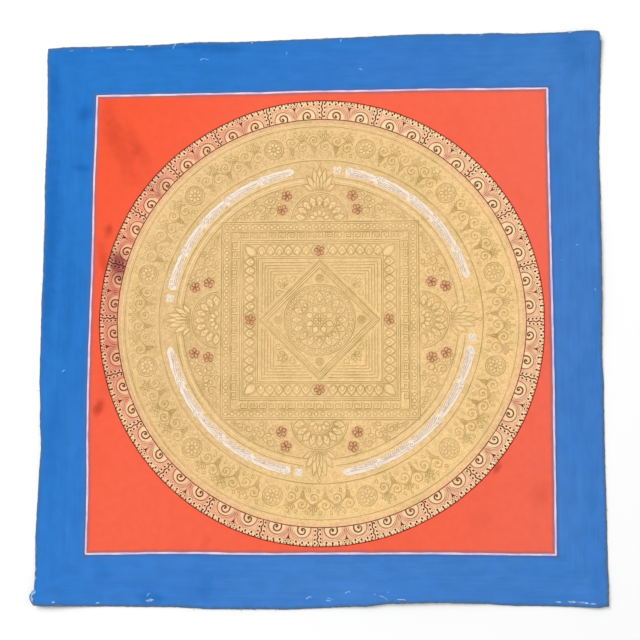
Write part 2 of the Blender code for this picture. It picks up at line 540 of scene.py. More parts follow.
class Effects:
    """The node groups that several finishes share, each built once."""

    def __init__(self) -> None:
        """Build the groups."""
        self.weave = self.build_weave()
        self.brushwork = self.build_brushwork()
        self.mottle = self.build_mottle()
        self.smudge = self.build_smudge()

    @staticmethod
    def begin(name: str, inputs: dict[str, float], outputs: Sequence[str]) -> tuple:
        """Open a node group.

        Args:
            name: the group's name.
            inputs: its input sockets and what they are set to at first.
            outputs: its output sockets.

        Returns:
            The group's graph, its inputs by name and its output node.
        """
        tree = bpy.data.node_groups.new(name, "ShaderNodeTree")
        for label, value in inputs.items():
            socket = tree.interface.new_socket(
                name=label, in_out="INPUT", socket_type="NodeSocketFloat")
            socket.default_value = value
        for label in outputs:
            tree.interface.new_socket(name=label, in_out="OUTPUT", socket_type="NodeSocketFloat")
        graph = Graph(tree)
        source = graph.add("NodeGroupInput")
        given = {socket.name: socket for socket in source.outputs if socket.name}
        return graph, given, graph.add("NodeGroupOutput")

    def build_weave(self) -> Tree:
        """Plain weave: threads that pass over and under each other, some thicker than others."""
        graph, given, sink = self.begin("canvas_weave", {"Pitch": 0.6, "Slub": 0.4}, ("Height",))
        place = graph.place()
        turns = graph.math("DIVIDE", math.pi, given["Pitch"])
        over = [graph.math("SINE", graph.math("MULTIPLY", axis, turns))
                for axis in graph.axes(place)]
        checks = graph.math("MULTIPLY", graph.math("MULTIPLY", *over), 0.35)
        runs = [graph.noise(graph.vector("MULTIPLY", place, stretch), 1.0, 1.0)
                for stretch in ((0.05, 1.4, 1.0), (1.4, 0.05, 1.0))]
        slubs = graph.remap(graph.math("MAXIMUM", *runs), 0.55, 0.8)
        thick = graph.math("MULTIPLY", slubs, given["Slub"])
        height = graph.math("ADD", graph.math("ADD", checks, 0.5), thick)
        graph.feed(sink.inputs["Height"], height)
        return graph.tree

    def build_brushwork(self) -> Tree:
        """Streaks of a wide brush, level or, where Upright is 1, running up and down."""
        graph, given, sink = self.begin(
            "brushwork", {"Upright": 0.0, "Width": 1.6, "Shortness": 0.03}, ("Tone", "Ridges"))
        place = graph.place()
        scale = graph.math("DIVIDE", 1.0, given["Width"])
        level, upright = [], []
        for streaks, long, across in ((level, 0, 1), (upright, 1, 0)):
            stretch = graph.add(
                "ShaderNodeCombineXYZ", {long: given["Shortness"], across: 1.0, 2: 1.0})
            drawn = graph.vector("MULTIPLY", place, stretch.outputs[0])
            streaks.append(graph.noise(drawn, graph.math("MULTIPLY", scale, 0.22), 1.0))
            streaks.append(graph.noise(drawn, scale, 2.0, 0.55))
        for name, first, second in zip(("Tone", "Ridges"), level, upright):
            node = graph.add("ShaderNodeMix", {0: given["Upright"], 2: first, 3: second})
            graph.feed(sink.inputs[name], node.outputs[0])
        return graph.tree

    def build_mottle(self) -> Tree:
        """Cloudy patches of a given size."""
        graph, given, sink = self.begin("mottle", {"Size": 12.0}, ("Tone",))
        scale = graph.math("DIVIDE", 1.0, given["Size"])
        graph.feed(sink.inputs["Tone"], graph.noise(graph.place(), scale, 3.0, 0.6))
        return graph.tree

    def build_smudge(self) -> Tree:
        """One soft, broken-edged patch, drawn out along a bearing."""
        inputs = {"X": 0.0, "Y": 0.0, "Long": 20.0, "Wide": 8.0, "Bearing": 0.0}
        graph, given, sink = self.begin("smudge", inputs, ("Mask",))
        place = graph.place()
        middle = graph.add("ShaderNodeCombineXYZ", {0: given["X"], 1: given["Y"]}).outputs[0]
        away = graph.vector("SUBTRACT", place, middle)
        turn = graph.math("RADIANS", given["Bearing"])
        spun = graph.add("ShaderNodeVectorRotate", {"Vector": away, "Angle": turn},
                         rotation_type="Z_AXIS").outputs[0]
        across, along = graph.axes(spun)
        shares = [graph.math("POWER", graph.math("DIVIDE", way, given[name]), 2.0)
                  for way, name in ((across, "Wide"), (along, "Long"))]
        rough = graph.math("MULTIPLY", graph.noise(place, 0.16, 3.0, 0.6), 0.9)
        reach = graph.math("ADD", graph.math("SQRT", graph.math("ADD", *shares)), rough)
        graph.feed(sink.inputs["Mask"], graph.remap(reach, 0.60, 1.60, 1.0, 0.0))
        return graph.tree


@dataclass(frozen=True)
class Finish:
    """A matt finish. Each kind says how its colour and relief change over the surface."""

    name: str
    slot: Slot
    colour: Colour
    roughness: float = 0.8
    specular: float = 0.1

    def material(self, effects: Effects) -> bpy.types.Material:
        """Build the material.

        Args:
            effects: the shared node groups.

        Returns:
            The material, with this finish's numbers on its shader.
        """
        made = bpy.data.materials.new(self.name)
        made.use_nodes = True
        made.diffuse_color = self.colour
        shader = made.node_tree.nodes["Principled BSDF"]
        shader.inputs["Roughness"].default_value = self.roughness
        shader.inputs["Specular IOR Level"].default_value = self.specular
        self.dress(Graph(made.node_tree), shader, effects)
        return made

    def dress(self, graph: Graph, shader: Node, effects: Effects) -> None:
        """Link what changes over the surface to the shader."""
        raise NotImplementedError

    @staticmethod
    def relief(graph: Graph, shader: Node, height: Socket, depth: float) -> None:
        """Raise the surface by a height, at most `depth` millimetres, through a Bump node."""
        bump = graph.add("ShaderNodeBump", {"Height": height, "Distance": depth * MM})
        graph.feed(shader.inputs["Normal"], bump.outputs[0])

    @staticmethod
    def stained(graph: Graph, colour: Socket, stain_colour: Colour, stains: Sequence[Stain],
                effects: Effects) -> Socket:
        """Lay stains over a colour, multiplied as dirt in the paint is.

        Args:
            graph: the material's graph.
            colour: what they are laid on.
            stain_colour: what a full stain multiplies it by.
            stains: where they lie.
            effects: the shared node groups.

        Returns:
            The stained colour.
        """
        for stain in stains:
            mask = graph.effect(effects.smudge, x=stain.x, y=stain.y, long=stain.long,
                                wide=stain.wide, bearing=stain.bearing)["Mask"]
            share = graph.math("MULTIPLY", mask, stain.strength)
            colour = graph.mix(share, colour, stain_colour, "MULTIPLY")
        return colour

    @staticmethod
    def canvas_grain(graph: Graph, effects: Effects, share: float) -> Socket:
        """The height of the canvas's weave, as far as the paint over it lets it show."""
        weave = graph.effect(effects.weave, pitch=0.62, slub=0.3)
        return graph.math("MULTIPLY", weave["Height"], share)


RING_RUB = (  # where the border was rubbed pink
    Stain(-184, 4, 150, 62, 0, 1.0), Stain(-118, 138, 120, 50, 45, 0.62),
    Stain(-110, -160, 110, 40, 120, 0.40),
)
RUB_TINT = (0.97, 0.62, 0.62, 1.0)
RING_STAINS = (
    Stain(-181.4, 45.9, 17, 11, 165, 0.95),  # dark wetted spot at the left
    Stain(-186, 20, 60, 16, 178, 0.22),
    Stain(-188, -52, 46, 14, 12, 0.20),
    Stain(-148, 122, 52, 15, 132, 0.22),
)
STAIN_TINT = (0.42, 0.24, 0.34, 1.0)


@dataclass(frozen=True)
class LinePaint(Finish):
    """Thin paint from a fine brush, which pools darker in places."""

    pooled: Colour = (0.0, 0.0, 0.0, 1.0)
    patch: float = 6.0
    rubbed: Colour = RUB_TINT

    def dress(self, graph: Graph, shader: Node, effects: Effects) -> None:
        """Let the paint vary between its two shades and take the border's wear."""
        tone = graph.effect(effects.mottle, size=self.patch)["Tone"]
        colour = graph.mix(graph.remap(tone, 0.35, 0.65), self.colour, self.pooled)
        if self.slot in (Slot.CANVAS, Slot.LINE):
            colour = self.stained(graph, colour, self.rubbed, RING_RUB, effects)
            colour = self.stained(graph, colour, STAIN_TINT, RING_STAINS, effects)
        graph.feed(shader.inputs["Base Color"], colour)


@dataclass(frozen=True)
class RawCanvas(Finish):
    """Unpainted cotton: the back of the sheet and its rim, which is darker and bluer near the cut."""

    rim: Colour = shade(86, 116, 154)
    aged: Colour = shade(186, 170, 142)

    def dress(self, graph: Graph, shader: Node, effects: Effects) -> None:
        """Weave the cloth with painted shade in its low threads, age it in patches and darken its rim.
        """
        weave = graph.effect(effects.weave, pitch=0.62, slub=0.45)["Height"]
        broad = graph.effect(effects.mottle, size=55.0)["Tone"]
        near = graph.effect(effects.mottle, size=5.0)["Tone"]
        colour = graph.mix(graph.remap(broad, 0.34, 0.72, 0.0, 0.7), self.colour, self.aged)
        # painted shade: darker where the weave lies low, lighter on its raised threads
        colour = graph.scaled(colour, graph.remap(weave, 0.2, 0.9, 0.86, 1.04))
        reach = graph.math("SUBTRACT", graph.mark("from_cut"), graph.math("MULTIPLY", near, 6.0))
        # darker and bluer within a few millimetres of the cut
        colour = graph.mix(graph.remap(reach, -2.5, 1.5, 1.0, 0.0), colour, self.rim)
        graph.feed(shader.inputs["Base Color"], colour)
        self.relief(graph, shader, weave, 0.10)


@dataclass(frozen=True)
class BluePaint(Finish):
    """The margin's blue, laid on with a wide brush along each side."""

    # painted light: the greyer, lighter blue towards the lower right
    lit_grey_blue: Colour = shade(70, 127, 201)
    deep: Colour = shade(30, 108, 190)
    seam: Colour = shade(84, 108, 160)
    rim: Colour = shade(72, 113, 162)
    stain: Colour = (0.42, 0.74, 0.82, 1.0)
    stains: tuple[Stain, ...] = (
        Stain(-244, 208, 36, 9, 0, 0.75), Stain(-214.5, 186, 13, 9, 30, 0.85),
        Stain(-216, 135.5, 13, 5, 96, 0.80), Stain(-246, 66, 130, 13, 2, 0.85),
        Stain(-226, 20, 80, 10, 1, 0.34), Stain(-168, 250, 84, 8, 89, 0.75),
        Stain(-92, 246, 34, 7, 94, 0.65), Stain(229, 234, 24, 17, 160, 0.50),
        Stain(248, 89, 34, 5, 0, 0.65), Stain(-98.1, -237.3, 14, 9, 30, 0.50),
        Stain(-146.2, -247, 15, 7, 90, 0.75), Stain(-190.7, -225.5, 13, 10, 0, 0.34),
        Stain(-236, -100, 60, 9, 4, 0.40), Stain(243, 4, 44, 5, 2, 0.30),
        Stain(-252.4, -246, 5.5, 3.2, 170, 1.0), Stain(238, -226, 30, 10, 8, 0.25),
    )

    def dress(self, graph: Graph, shader: Node, effects: Effects) -> None:
        """Grey and lighten the blue to the lower right as painted light, streak it along its side and
        darken it at the rim.
        """
        x, y = graph.axes(graph.place())
        beside = graph.math("SUBTRACT", graph.math("ABSOLUTE", x), graph.math("ABSOLUTE", y))
        upright = graph.remap(beside, -3.0, 3.0)
        brush = graph.effect(effects.brushwork, upright=upright, width=1.5)
        # painted light: greyer and lighter towards the lower right
        down = graph.math("SUBTRACT", x, graph.math("MULTIPLY", y, 0.55))
        colour = graph.mix(graph.remap(down, -380.0, 240.0), self.colour, self.lit_grey_blue)
        colour = graph.mix(graph.remap(brush["Tone"], 0.34, 0.58, 0.11, 0.0), colour, self.deep)
        cloud = graph.effect(effects.mottle, size=90.0)["Tone"]
        colour = graph.mix(graph.remap(cloud, 0.40, 0.66, 0.0, 0.18), colour, self.deep)
        dabs = graph.effect(effects.brushwork, upright=upright, width=10.0, shortness=0.55)["Ridges"]
        colour = graph.scaled(colour, graph.remap(dabs, 0.34, 0.66, 1.035, 0.955))
        # painted light: lighter towards the bottom
        colour = graph.scaled(colour, graph.remap(y, -240.0, 60.0, 1.08, 1.01))
        colour = graph.scaled(colour, graph.remap(brush["Ridges"], 0.36, 0.64, 0.975, 1.025))
        colour = self.stained(graph, colour, self.stain, self.stains, effects)
        # darker in a band along the white line
        edge = graph.math("ADD", graph.mark("from_line"), graph.math("MULTIPLY", brush["Ridges"], 1.2))
        colour = graph.mix(graph.remap(edge, 1.7, 4.6, 0.95, 0.0), colour, self.seam)
        # darker and greyer within a few millimetres of the cut
        near = graph.effect(effects.mottle, size=3.2)["Tone"]
        reach = graph.math("SUBTRACT", graph.mark("from_cut"), graph.math("MULTIPLY", near, 5.0))
        colour = graph.mix(graph.remap(reach, -2.2, 0.4, 0.85, 0.0), colour, self.rim)
        graph.feed(shader.inputs["Base Color"], colour)
        height = graph.math("ADD", self.canvas_grain(graph, effects, 0.25), brush["Ridges"])
        self.relief(graph, shader, height, 0.04)


@dataclass(frozen=True)
class RedPaint(Finish):
    """The field's red, evenly laid, with darker smudges at the left."""

    # painted light: the deeper, warmer red to the left and the rosier, lighter red to the right
    warm: Colour = shade(247, 92, 59)
    lit_rosy: Colour = shade(249, 109, 86)
    dull: Colour = shade(236, 82, 54)
    seam: Colour = shade(186, 106, 104)
    stain: Colour = (0.60, 0.42, 0.40, 1.0)
    stains: tuple[Stain, ...] = (
        Stain(-180, 152, 42, 11, 156.8, 0.34), Stain(-167, 156, 30, 9, 152, 0.28),
        Stain(-166.6, 151.5, 9, 6, 165, 0.28), Stain(-190.5, 78, 8, 5, 12, 0.70),
        Stain(-193, 44, 27, 6, 166, 0.50), Stain(-196.5, -82, 10, 6, 22, 0.85),
        Stain(-190, -40, 56, 8, 3, 0.16), Stain(-192, 176, 40, 12, 176, 0.20),
        Stain(154, -134, 7, 4, 35, 0.70), Stain(191.2, -156.1, 15, 13, 0, 0.22),
        Stain(140, -178, 17, 11, 60, 0.12), Stain(-98.5, -199, 9, 6, 20, 0.14),
    )

    def dress(self, graph: Graph, shader: Node, effects: Effects) -> None:
        """Warm the red to the left and make it rosier and lighter to the right as painted light; cloud
        it and smudge it.
        """
        x, y = graph.axes(graph.place())
        # painted light: deeper and warmer to the left, lighter and rosier to the right
        across = graph.math("SUBTRACT", x, graph.math("MULTIPLY", y, 0.5))
        colour = graph.mix(graph.remap(across, -290.0, -90.0), self.warm, self.colour)
        colour = graph.mix(graph.remap(x, 60.0, 210.0), colour, self.lit_rosy)
        broad = graph.effect(effects.mottle, size=38.0)
        near = graph.effect(effects.mottle, size=7.0)["Tone"]
        colour = graph.mix(graph.remap(broad["Tone"], 0.52, 0.76, 0.0, 0.20), colour, self.dull)
        colour = graph.scaled(colour, graph.remap(near, 0.30, 0.70, 0.975, 1.02))
        colour = self.stained(graph, colour, self.stain, self.stains, effects)
        # darker in a band along the white line
        edge = graph.math("ADD", graph.mark("from_line"), graph.math("MULTIPLY", near, 1.6))
        colour = graph.mix(graph.remap(edge, 2.1, 5.2, 0.95, 0.0), colour, self.seam)
        graph.feed(shader.inputs["Base Color"], colour)
        height = graph.math("ADD", self.canvas_grain(graph, effects, 0.25), near)
        self.relief(graph, shader, height, 0.05)


class Tone(NamedTuple):
    """The gold's shade at a distance from the middle of the disc, in millimetres."""

    radius: float
    colour: Colour


@dataclass(frozen=True)
class GoldPaint(Finish):
    """Shell gold in rings of slightly different tone, tarnished in patches."""

    metallic: float = 0.15
    reach: float = 200.0  # the radius where the ramp of tones ends
    tones: tuple[Tone, ...] = (
        Tone(0.0, shade(226, 191, 132)), Tone(34.0, shade(235, 198, 138)),
        Tone(90.0, shade(235, 197, 137)), Tone(122.0, shade(229, 191, 133)),
        Tone(127.0, shade(234, 196, 139)), Tone(143.0, shade(233, 195, 136)),
        Tone(160.0, shade(236, 197, 137)), Tone(173.0, shade(237, 198, 137)),
        Tone(176.5, shade(236, 191, 137)), Tone(181.0, shade(236, 187, 137)),
    )
    tarnish: Colour = shade(210, 184, 116)

    def dress(self, graph: Graph, shader: Node, effects: Effects) -> None:
        """Lay the tones in rings, brighter to the lower right as painted light, tarnished and flecked.
        """
        place = graph.place()
        flat = graph.vector("MULTIPLY", place, (1.0, 1.0, 0.0))
        away = graph.vector("SUBTRACT", flat, (*DISC_AT, 0.0))
        radius = graph.add("ShaderNodeVectorMath", {0: away}, operation="LENGTH").outputs["Value"]
        ramp = graph.add("ShaderNodeValToRGB", {0: graph.math("DIVIDE", radius, self.reach)})
        steps = ramp.color_ramp.elements
        for step, tone in zip(steps, (self.tones[0], self.tones[-1])):
            step.position, step.color = tone.radius / self.reach, tone.colour
        for tone in self.tones[1:-1]:
            steps.new(tone.radius / self.reach).color = tone.colour
        x, y = graph.axes(place)
        # painted light: the gold is darker to the upper left and brighter to the lower right
        down = graph.math("SUBTRACT", x, graph.math("MULTIPLY", y, 0.6))
        colour = graph.scaled(ramp.outputs[0], graph.remap(down, -180.0, 180.0, 0.89, 1.11))
        # painted light: brighter still towards the bottom
        colour = graph.scaled(colour, graph.remap(y, -190.0, -60.0, 1.035, 1.0))
        broad = graph.effect(effects.mottle, size=26.0)["Tone"]
        near = graph.effect(effects.mottle, size=4.0)["Tone"]
        colour = graph.mix(graph.remap(broad, 0.48, 0.70, 0.0, 0.45), colour, self.tarnish)
        colour = graph.scaled(colour, graph.remap(near, 0.30, 0.70, 0.95, 1.11))
        flecks = graph.noise(place, 0.62, 1.0)
        colour = graph.scaled(colour, graph.remap(flecks, 0.30, 0.70, 0.90, 1.10))
        graph.feed(shader.inputs["Base Color"], colour)
        shader.inputs["Metallic"].default_value = self.metallic
        graph.feed(shader.inputs["Roughness"], graph.remap(
            broad, 0.3, 0.7, self.roughness - 0.08, self.roughness + 0.10))
        height = graph.math("ADD", self.canvas_grain(graph, effects, 0.25), near)
        self.relief(graph, shader, height, 0.06)


@dataclass(frozen=True)
class RingPaint(Finish):
    """The peach ground of the scroll border, pinker and darker where it was wetted."""

    pink: Colour = shade(244, 184, 148)
    rubbed: Colour = (0.92, 0.58, 0.60, 1.0)

    def dress(self, graph: Graph, shader: Node, effects: Effects) -> None:
        """Cloud the peach with pink, rub its left and stain it."""
        tone = graph.effect(effects.mottle, size=7.0)["Tone"]
        colour = graph.mix(graph.remap(tone, 0.36, 0.64), self.colour, self.pink)
        colour = self.stained(graph, colour, self.rubbed, RING_RUB, effects)
        colour = self.stained(graph, colour, STAIN_TINT, RING_STAINS, effects)
        graph.feed(shader.inputs["Base Color"], colour)
        self.relief(graph, shader, self.canvas_grain(graph, effects, 0.5), 0.03)


class Paint(Enum):
    """Every finish on the object."""

    RAW = RawCanvas("raw_canvas_cloth", Slot.RAW, shade(208, 196, 170), 0.92, 0.15)
    BLUE = BluePaint("blue_margin_paint", Slot.BLUE, shade(38, 120, 203), 0.72, 0.12)
    RED = RedPaint("red_field_paint", Slot.RED, shade(252, 104, 76), 0.78, 0.1)
    GOLD = GoldPaint("shell_gold", Slot.GOLD, shade(228, 190, 132), 0.55, 0.3)
    RING = RingPaint("peach_ground", Slot.CANVAS, shade(250, 202, 160), 0.8, 0.1)
    OLIVE = LinePaint("olive_line", Slot.GOLD, shade(217, 180, 121), 0.75, 0.1,
                      shade(190, 155, 96), 26.0)
    # painted highlight: pale gold for light catching the raised lines, also used for pale dots and
    # fills
    HIGHLIGHT = LinePaint("pale_gold_and_painted_highlight", Slot.GOLD, shade(249, 216, 157), 0.5, 0.3,
                          shade(241, 204, 144))
    BROWN = LinePaint("brown_scroll_line", Slot.LINE, shade(120, 68, 42), 0.8, 0.1,
                      shade(144, 88, 54))
    MAROON = LinePaint("maroon_line", Slot.LINE, shade(98, 34, 27), 0.8, 0.1, shade(136, 52, 38))
    HAIR = LinePaint("brown_hairline", Slot.LINE, shade(164, 108, 74), 0.8, 0.1,
                     shade(194, 134, 98))
    CREAM = LinePaint("cream_paint", Slot.CANVAS, shade(253, 225, 178), 0.8, 0.1,
                      shade(250, 209, 162), rubbed=(0.98, 0.74, 0.76, 1.0))
    WHITE = LinePaint("white_line_paint", Slot.WHITE, shade(236, 222, 244), 0.75, 0.1,
                      shade(206, 194, 240), 16.0)
    CLOUD = LinePaint("cloud_white", Slot.WHITE, shade(253, 237, 219), 0.78, 0.1,
                      shade(247, 226, 201), 4.0)
    CLOUD_CURL = LinePaint("cloud_grey_line", Slot.WHITE, shade(200, 170, 142), 0.8, 0.1,
                           shade(222, 198, 172))
    BLOSSOM = LinePaint("russet_line", Slot.LINE, shade(156, 94, 68), 0.8, 0.1,
                        shade(188, 130, 90), 3.0)
    BLUSH = LinePaint("faded_pink", Slot.CANVAS, shade(226, 172, 128), 0.8, 0.1,
                      shade(230, 186, 134), 3.0)
    CHIP = LinePaint("bared_ground", Slot.RAW, shade(184, 202, 226), 0.9, 0.1,
                     shade(118, 156, 208), 2.0)
    SCRATCH = LinePaint("scratched_blue", Slot.BLUE, shade(156, 200, 248), 0.8, 0.1,
                        shade(104, 164, 232), 2.0)


# ---- Making pieces ----


@dataclass
class Workshop:
    """What every sub-assembly works with: the cloth, the shared effects and the pieces so far."""

    cloth: Cloth
    effects: Effects
    materials: dict[Paint, bpy.types.Material] = field(default_factory=dict)
    pieces: list[Piece] = field(default_factory=list)

    def material(self, paint: Paint) -> bpy.types.Material:
        """The material of a paint, built when it is first asked for."""
        if paint not in self.materials:
            self.materials[paint] = paint.value.material(self.effects)
        return self.materials[paint]

    def piece(self, name: str, points: Array, faces: Sequence[Array], paint: Paint,
              marks: dict[str, Array] | None = None, plan: bool = True) -> Piece:
        """Make a piece, dress it and let it ride on the body.

        Args:
            name: the piece's name.
            points: its points in the frame, in metres.
            faces: arrays of quads or triangles.
            paint: its finish.
            marks: values that the mesh carries at its points for its finish.
            plan: whether its map is laid out as seen from above.

        Returns:
            The new object.
        """
        mesh = bpy.data.meshes.new(name)
        listed = [face for block in faces for face in block.tolist()]
        mesh.from_pydata(points.tolist(), [], listed)
        for mark, values in (marks or {}).items():
            layer = mesh.attributes.new(mark, "FLOAT", "POINT")
            layer.data.foreach_set("value", values.astype(np.float32))
        if plan:
            corners = np.empty(len(mesh.loops), np.int32)
            mesh.loops.foreach_get("vertex_index", corners)
            chart = points[corners, :2] / PLAN_SIDE + 0.5
            mesh.uv_layers.new(name=PLAN_MAP).uv.foreach_set("vector", chart.ravel())
        mesh.shade_smooth()
        mesh.materials.append(self.material(paint))
        made = bpy.data.objects.new(name, mesh)
        bpy.context.scene.collection.objects.link(made)
        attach(made, BODY)
        self.pieces.append(made)
        mesh.calc_loop_triangles()
        LOG.info("%s: %d triangles, %s", name, len(mesh.loop_triangles), paint.value.name)
        return made

    def lay(self, name: str, spots: Array, above: Array | float, faces: Sequence[Array],
            paint: Paint, marks: dict[str, Array] | None = None) -> None:
        """Make a piece that lies on the cloth.

        Args:
            name, faces, paint, marks: as for a piece.
            spots: where its points lie in the frame as seen from above, in metres.
            above: how high they stand above the cloth, in metres.
        """
        height = self.cloth.top(spots) + above
        self.piece(name, np.column_stack((spots, height)), faces, paint, marks)


class Brush:
    """Strokes, dots and filled patches of one paint, gathered into one piece on the cloth.

    They are drawn in millimetres about `at`. `layer` is how high the paint stands above the
    cloth, and `crown` how much higher a stroke is along its middle. `shake` is how far a line
    strays, over the lengths in `swings`.
    """

    SWELL = 0.14  # the share by which a stroke's width swells and thins
    TIP = 0.06  # a stroke's end keeps the root of this share of its width
    BLOB = 0.10  # the share by which a dot's radius varies
    SMALL = 1.2  # dots under this radius have fewer sides

    def __init__(self, layer: float, crown: float = 0.05, step: float = 1.2, shake: float = 0.10,
                 at: Sequence[float] = DISC_AT, swings: Sequence[float] = (34.0, 15.0, 7.0),
                 seed: int = 1) -> None:
        """Take up an empty brush."""
        self.layer, self.crown, self.step, self.shake = layer, crown, step, shake
        self.at, self.swings = np.asarray(at, float), swings
        self.rng = np.random.default_rng(seed)
        self.spots: list[Array] = []
        self.above: list[Array] = []
        self.faces: list[Array] = []
        self.count = 0

    def gather(self, spots: Array, above: Array, faces: Array) -> None:
        """Add points, how high each stands above `layer`, and faces numbered from zero."""
        self.spots.append(spots)
        self.above.append(self.layer + above)
        self.faces.append(faces + self.count)
        self.count += len(spots)

    def stroke(self, path: Array, width: float, closed: bool = False,
               taper: Pair = (0.4, 0.4)) -> None:
        """Draw a line that thins at its ends.

        Args:
            path: its points.
            width: how wide it is.
            closed: whether it joins up with its start.
            taper: over how long a stretch each end thins, in millimetres.
        """
        points, along, total = spaced(np.asarray(path, float), self.step, closed)
        if closed:
            way = np.roll(points, -1, 0) - np.roll(points, 1, 0)
        else:
            way = np.gradient(points, axis=0)
        side = np.stack((-way[:, 1], way[:, 0]), -1)
        side /= np.maximum(np.hypot(*side.T), 1e-9)[:, None]
        half = 0.5 * width * (1.0 + self.SWELL * uneven(along, total, self.swings, self.rng))
        if not closed:
            ends = np.minimum(along / taper[0], (total - along) / taper[1])
            half *= np.sqrt(np.clip(ends, self.TIP, 1.0))
        sway = self.shake * uneven(along, total, self.swings, self.rng)
        points = points + side * sway[:, None]
        edge = side * half[:, None]
        spots = np.stack((points + edge, points, points - edge), 1).reshape(-1, 2)
        crown = np.tile((0.0, self.crown, 0.0), len(points))
        faces = grid_faces(len(points), 3, False)
        if closed:
            last, columns = 3 * (len(points) - 1), np.arange(2)
            seam = np.stack((last + columns, last + columns + 1, columns + 1, columns), -1)
            faces = np.concatenate((faces, seam))
        self.gather(spots, crown, faces[:, ::-1])

    def patch(self, outline: Array, crown: float | None = None) -> None:
        """Fill a closed outline that its own middle sees all of."""
        outline = np.asarray(outline, float)
        count = len(outline)
        numbers = np.arange(count)
        faces = np.stack((numbers, (numbers + 1) % count, np.full(count, count)), -1)
        x, y = (outline - outline.mean(0)).T
        area = (x * np.roll(y, -1) - y * np.roll(x, -1)).sum()
        spots = np.concatenate((outline, outline.mean(0)[None]))
        above = np.zeros(count + 1)
        above[-1] = self.crown if crown is None else crown
        self.gather(spots, above, faces if area > 0.0 else faces[:, ::-1])

    def dot(self, at: Sequence[float], radius: float, stretch: float = 1.0,
            bearing: float = 0.0) -> None:
        """Set a slightly uneven dot, drawn out `stretch` times along a bearing."""
        sides = 8 if radius < self.SMALL else 12
        uneven_radius = radius * (1.0 + self.rng.uniform(-self.BLOB, self.BLOB, sides))
        blob = polar(uneven_radius, around(sides))
        self.patch(placed(blob * (1.0, stretch), at, bearing))

    def lay(self, workshop: Workshop, name: str, paint: Paint) -> None:
        """Lay all that was drawn on the cloth as one piece."""
        spots = (np.concatenate(self.spots) + self.at) * MM
        workshop.lay(name, spots, np.concatenate(self.above) * MM, self.faces, paint)


class Gilder:
    """Draws on the gold: each olive line has a raised pale line on its lit side, a painted highlight
    of light catching the raised gold.
    """

    LIT = np.array((-0.36, 0.62))  # towards the light, about 0.7 long
    TAPER = (0.8, 0.8)

    def __init__(self, seed: int, step: float = 1.2) -> None:
        """Take up the two brushes."""
        self.dark = Brush(layer=0.15, crown=0.03, step=step, seed=seed)
        # the pale brush paints highlights: painted light on the raised gold lines
        self.pale = Brush(layer=0.07, crown=0.07, step=step, seed=seed)

    def line(self, path: Array, width: float = 0.8, closed: bool = False) -> None:
        """Draw a line and its highlight."""
        path = np.asarray(path, float)
        self.dark.stroke(path, width, closed, self.TAPER)
        # painted highlight: the pale copy is moved towards the light
        beside = self.LIT * (0.45 + 0.75 * width)
        self.pale.stroke(path + beside, 0.3 + 0.6 * width, closed, self.TAPER)

    def leaf(self, outline: Array, width: float = 0.6) -> None:
        """Draw a leaf or petal, filled with pale gold."""
        outline = np.asarray(outline, float)
        self.pale.patch(outline + 0.3 * (outline.mean(0) - outline), 0.06)
        self.dark.stroke(outline, width, True)

    def bead(self, at: Sequence[float], radius: float, width: float = 0.55) -> None:
        """Draw a small circle whose raised middle is a pale dot of painted highlight."""
        self.dark.stroke(ring(radius, at), width, True)
        self.pale.dot(at, 0.62 * radius)

    def bloom(self, at: Sequence[float], inner: float, outer: float, petals: int,
              width: float, bearing: float = 0.0) -> None:
        """Draw a wheel of petals.

        Args:
            at: its middle.
            inner, outer: where its petals start and end.
            petals: how many it has.
            width: how wide each is.
            bearing: where the first one points.
        """
        for turn in bearing + around(petals):
            foot = np.asarray(at, float) + polar(inner, turn)
            self.leaf(placed(petal(outer - inner, width), foot, turn), 0.55)

    def lay(self, workshop: Workshop, name: str) -> None:
        """Lay both brushes' work on the cloth."""
        self.dark.lay(workshop, f"{name}_lines", Paint.OLIVE)
        self.pale.lay(workshop, f"{name}_highlights", Paint.HIGHLIGHT)


# ---- The cloth and its grounds ----


@dataclass
class BareCloth:
    """The canvas itself, a closed sheet that the paint lies on."""

    divisions: int = 180
    side: float = 500.0  # about how long its sides are, in millimetres
    softened: float = 0.00035  # how far its upper and lower edges are rounded in
    ragged: float = 0.00022  # how rough the cut is

    def grid(self) -> tuple[Array, Array]:
        """The unit square's grid of places, a little inside its edges."""
        inset = self.softened / (self.side * MM)
        share = np.linspace(inset, 1.0 - inset, self.divisions + 1)
        up, across = np.meshgrid(share, share, indexing="ij")
        return across.ravel(), up.ravel()

    def rim_numbers(self) -> Array:
        """The numbers of the grid's outer points, clockwise from the top left."""
        n = self.divisions
        numbers = np.arange((n + 1) ** 2).reshape(n + 1, n + 1)
        return np.concatenate(
            (numbers[n, :-1], numbers[:0:-1, n], numbers[0, :0:-1], numbers[:-1, 0]))

    def build(self, workshop: Workshop) -> Piece:
        """Make the sheet: its two faces, and a rough, rounded rim between them."""
        cloth, rng = workshop.cloth, np.random.default_rng(11)
        across, up = self.grid()
        spots = cloth.spot(across, up)
        low, high = cloth.lift(spots), cloth.top(spots)
        cut = cloth.rim(self.divisions)
        outward = cut / np.hypot(*cut.T)[:, None]
        cut = cut + outward * rng.uniform(-self.ragged, self.ragged, len(cut))[:, None]
        middle = cloth.lift(cut) + 0.5 * cloth.thickness
        points = np.concatenate((np.column_stack((spots, high)), np.column_stack((spots, low)),
                                 np.column_stack((cut, middle))))
        count, rim = len(spots), self.rim_numbers()
        upper = grid_faces(self.divisions + 1, self.divisions + 1, False)
        seam = 2 * count + np.arange(len(rim))
        faces = [upper, upper[:, ::-1] + count,
                 np.stack((rim, np.roll(rim, -1), np.roll(seam, -1), seam), -1),
                 np.stack((seam, np.roll(seam, -1), np.roll(rim, -1) + count, rim + count), -1)]
        nearest = np.minimum(np.minimum(across, 1.0 - across), np.minimum(up, 1.0 - up))
        inside = self.side * nearest
        marks = {"from_cut": np.concatenate((inside, inside, np.zeros(len(cut))))}
        made = workshop.piece("bare_cloth", points, faces, Paint.RAW, marks, plan=False)
        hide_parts(CLOTH_NODE)
        return made


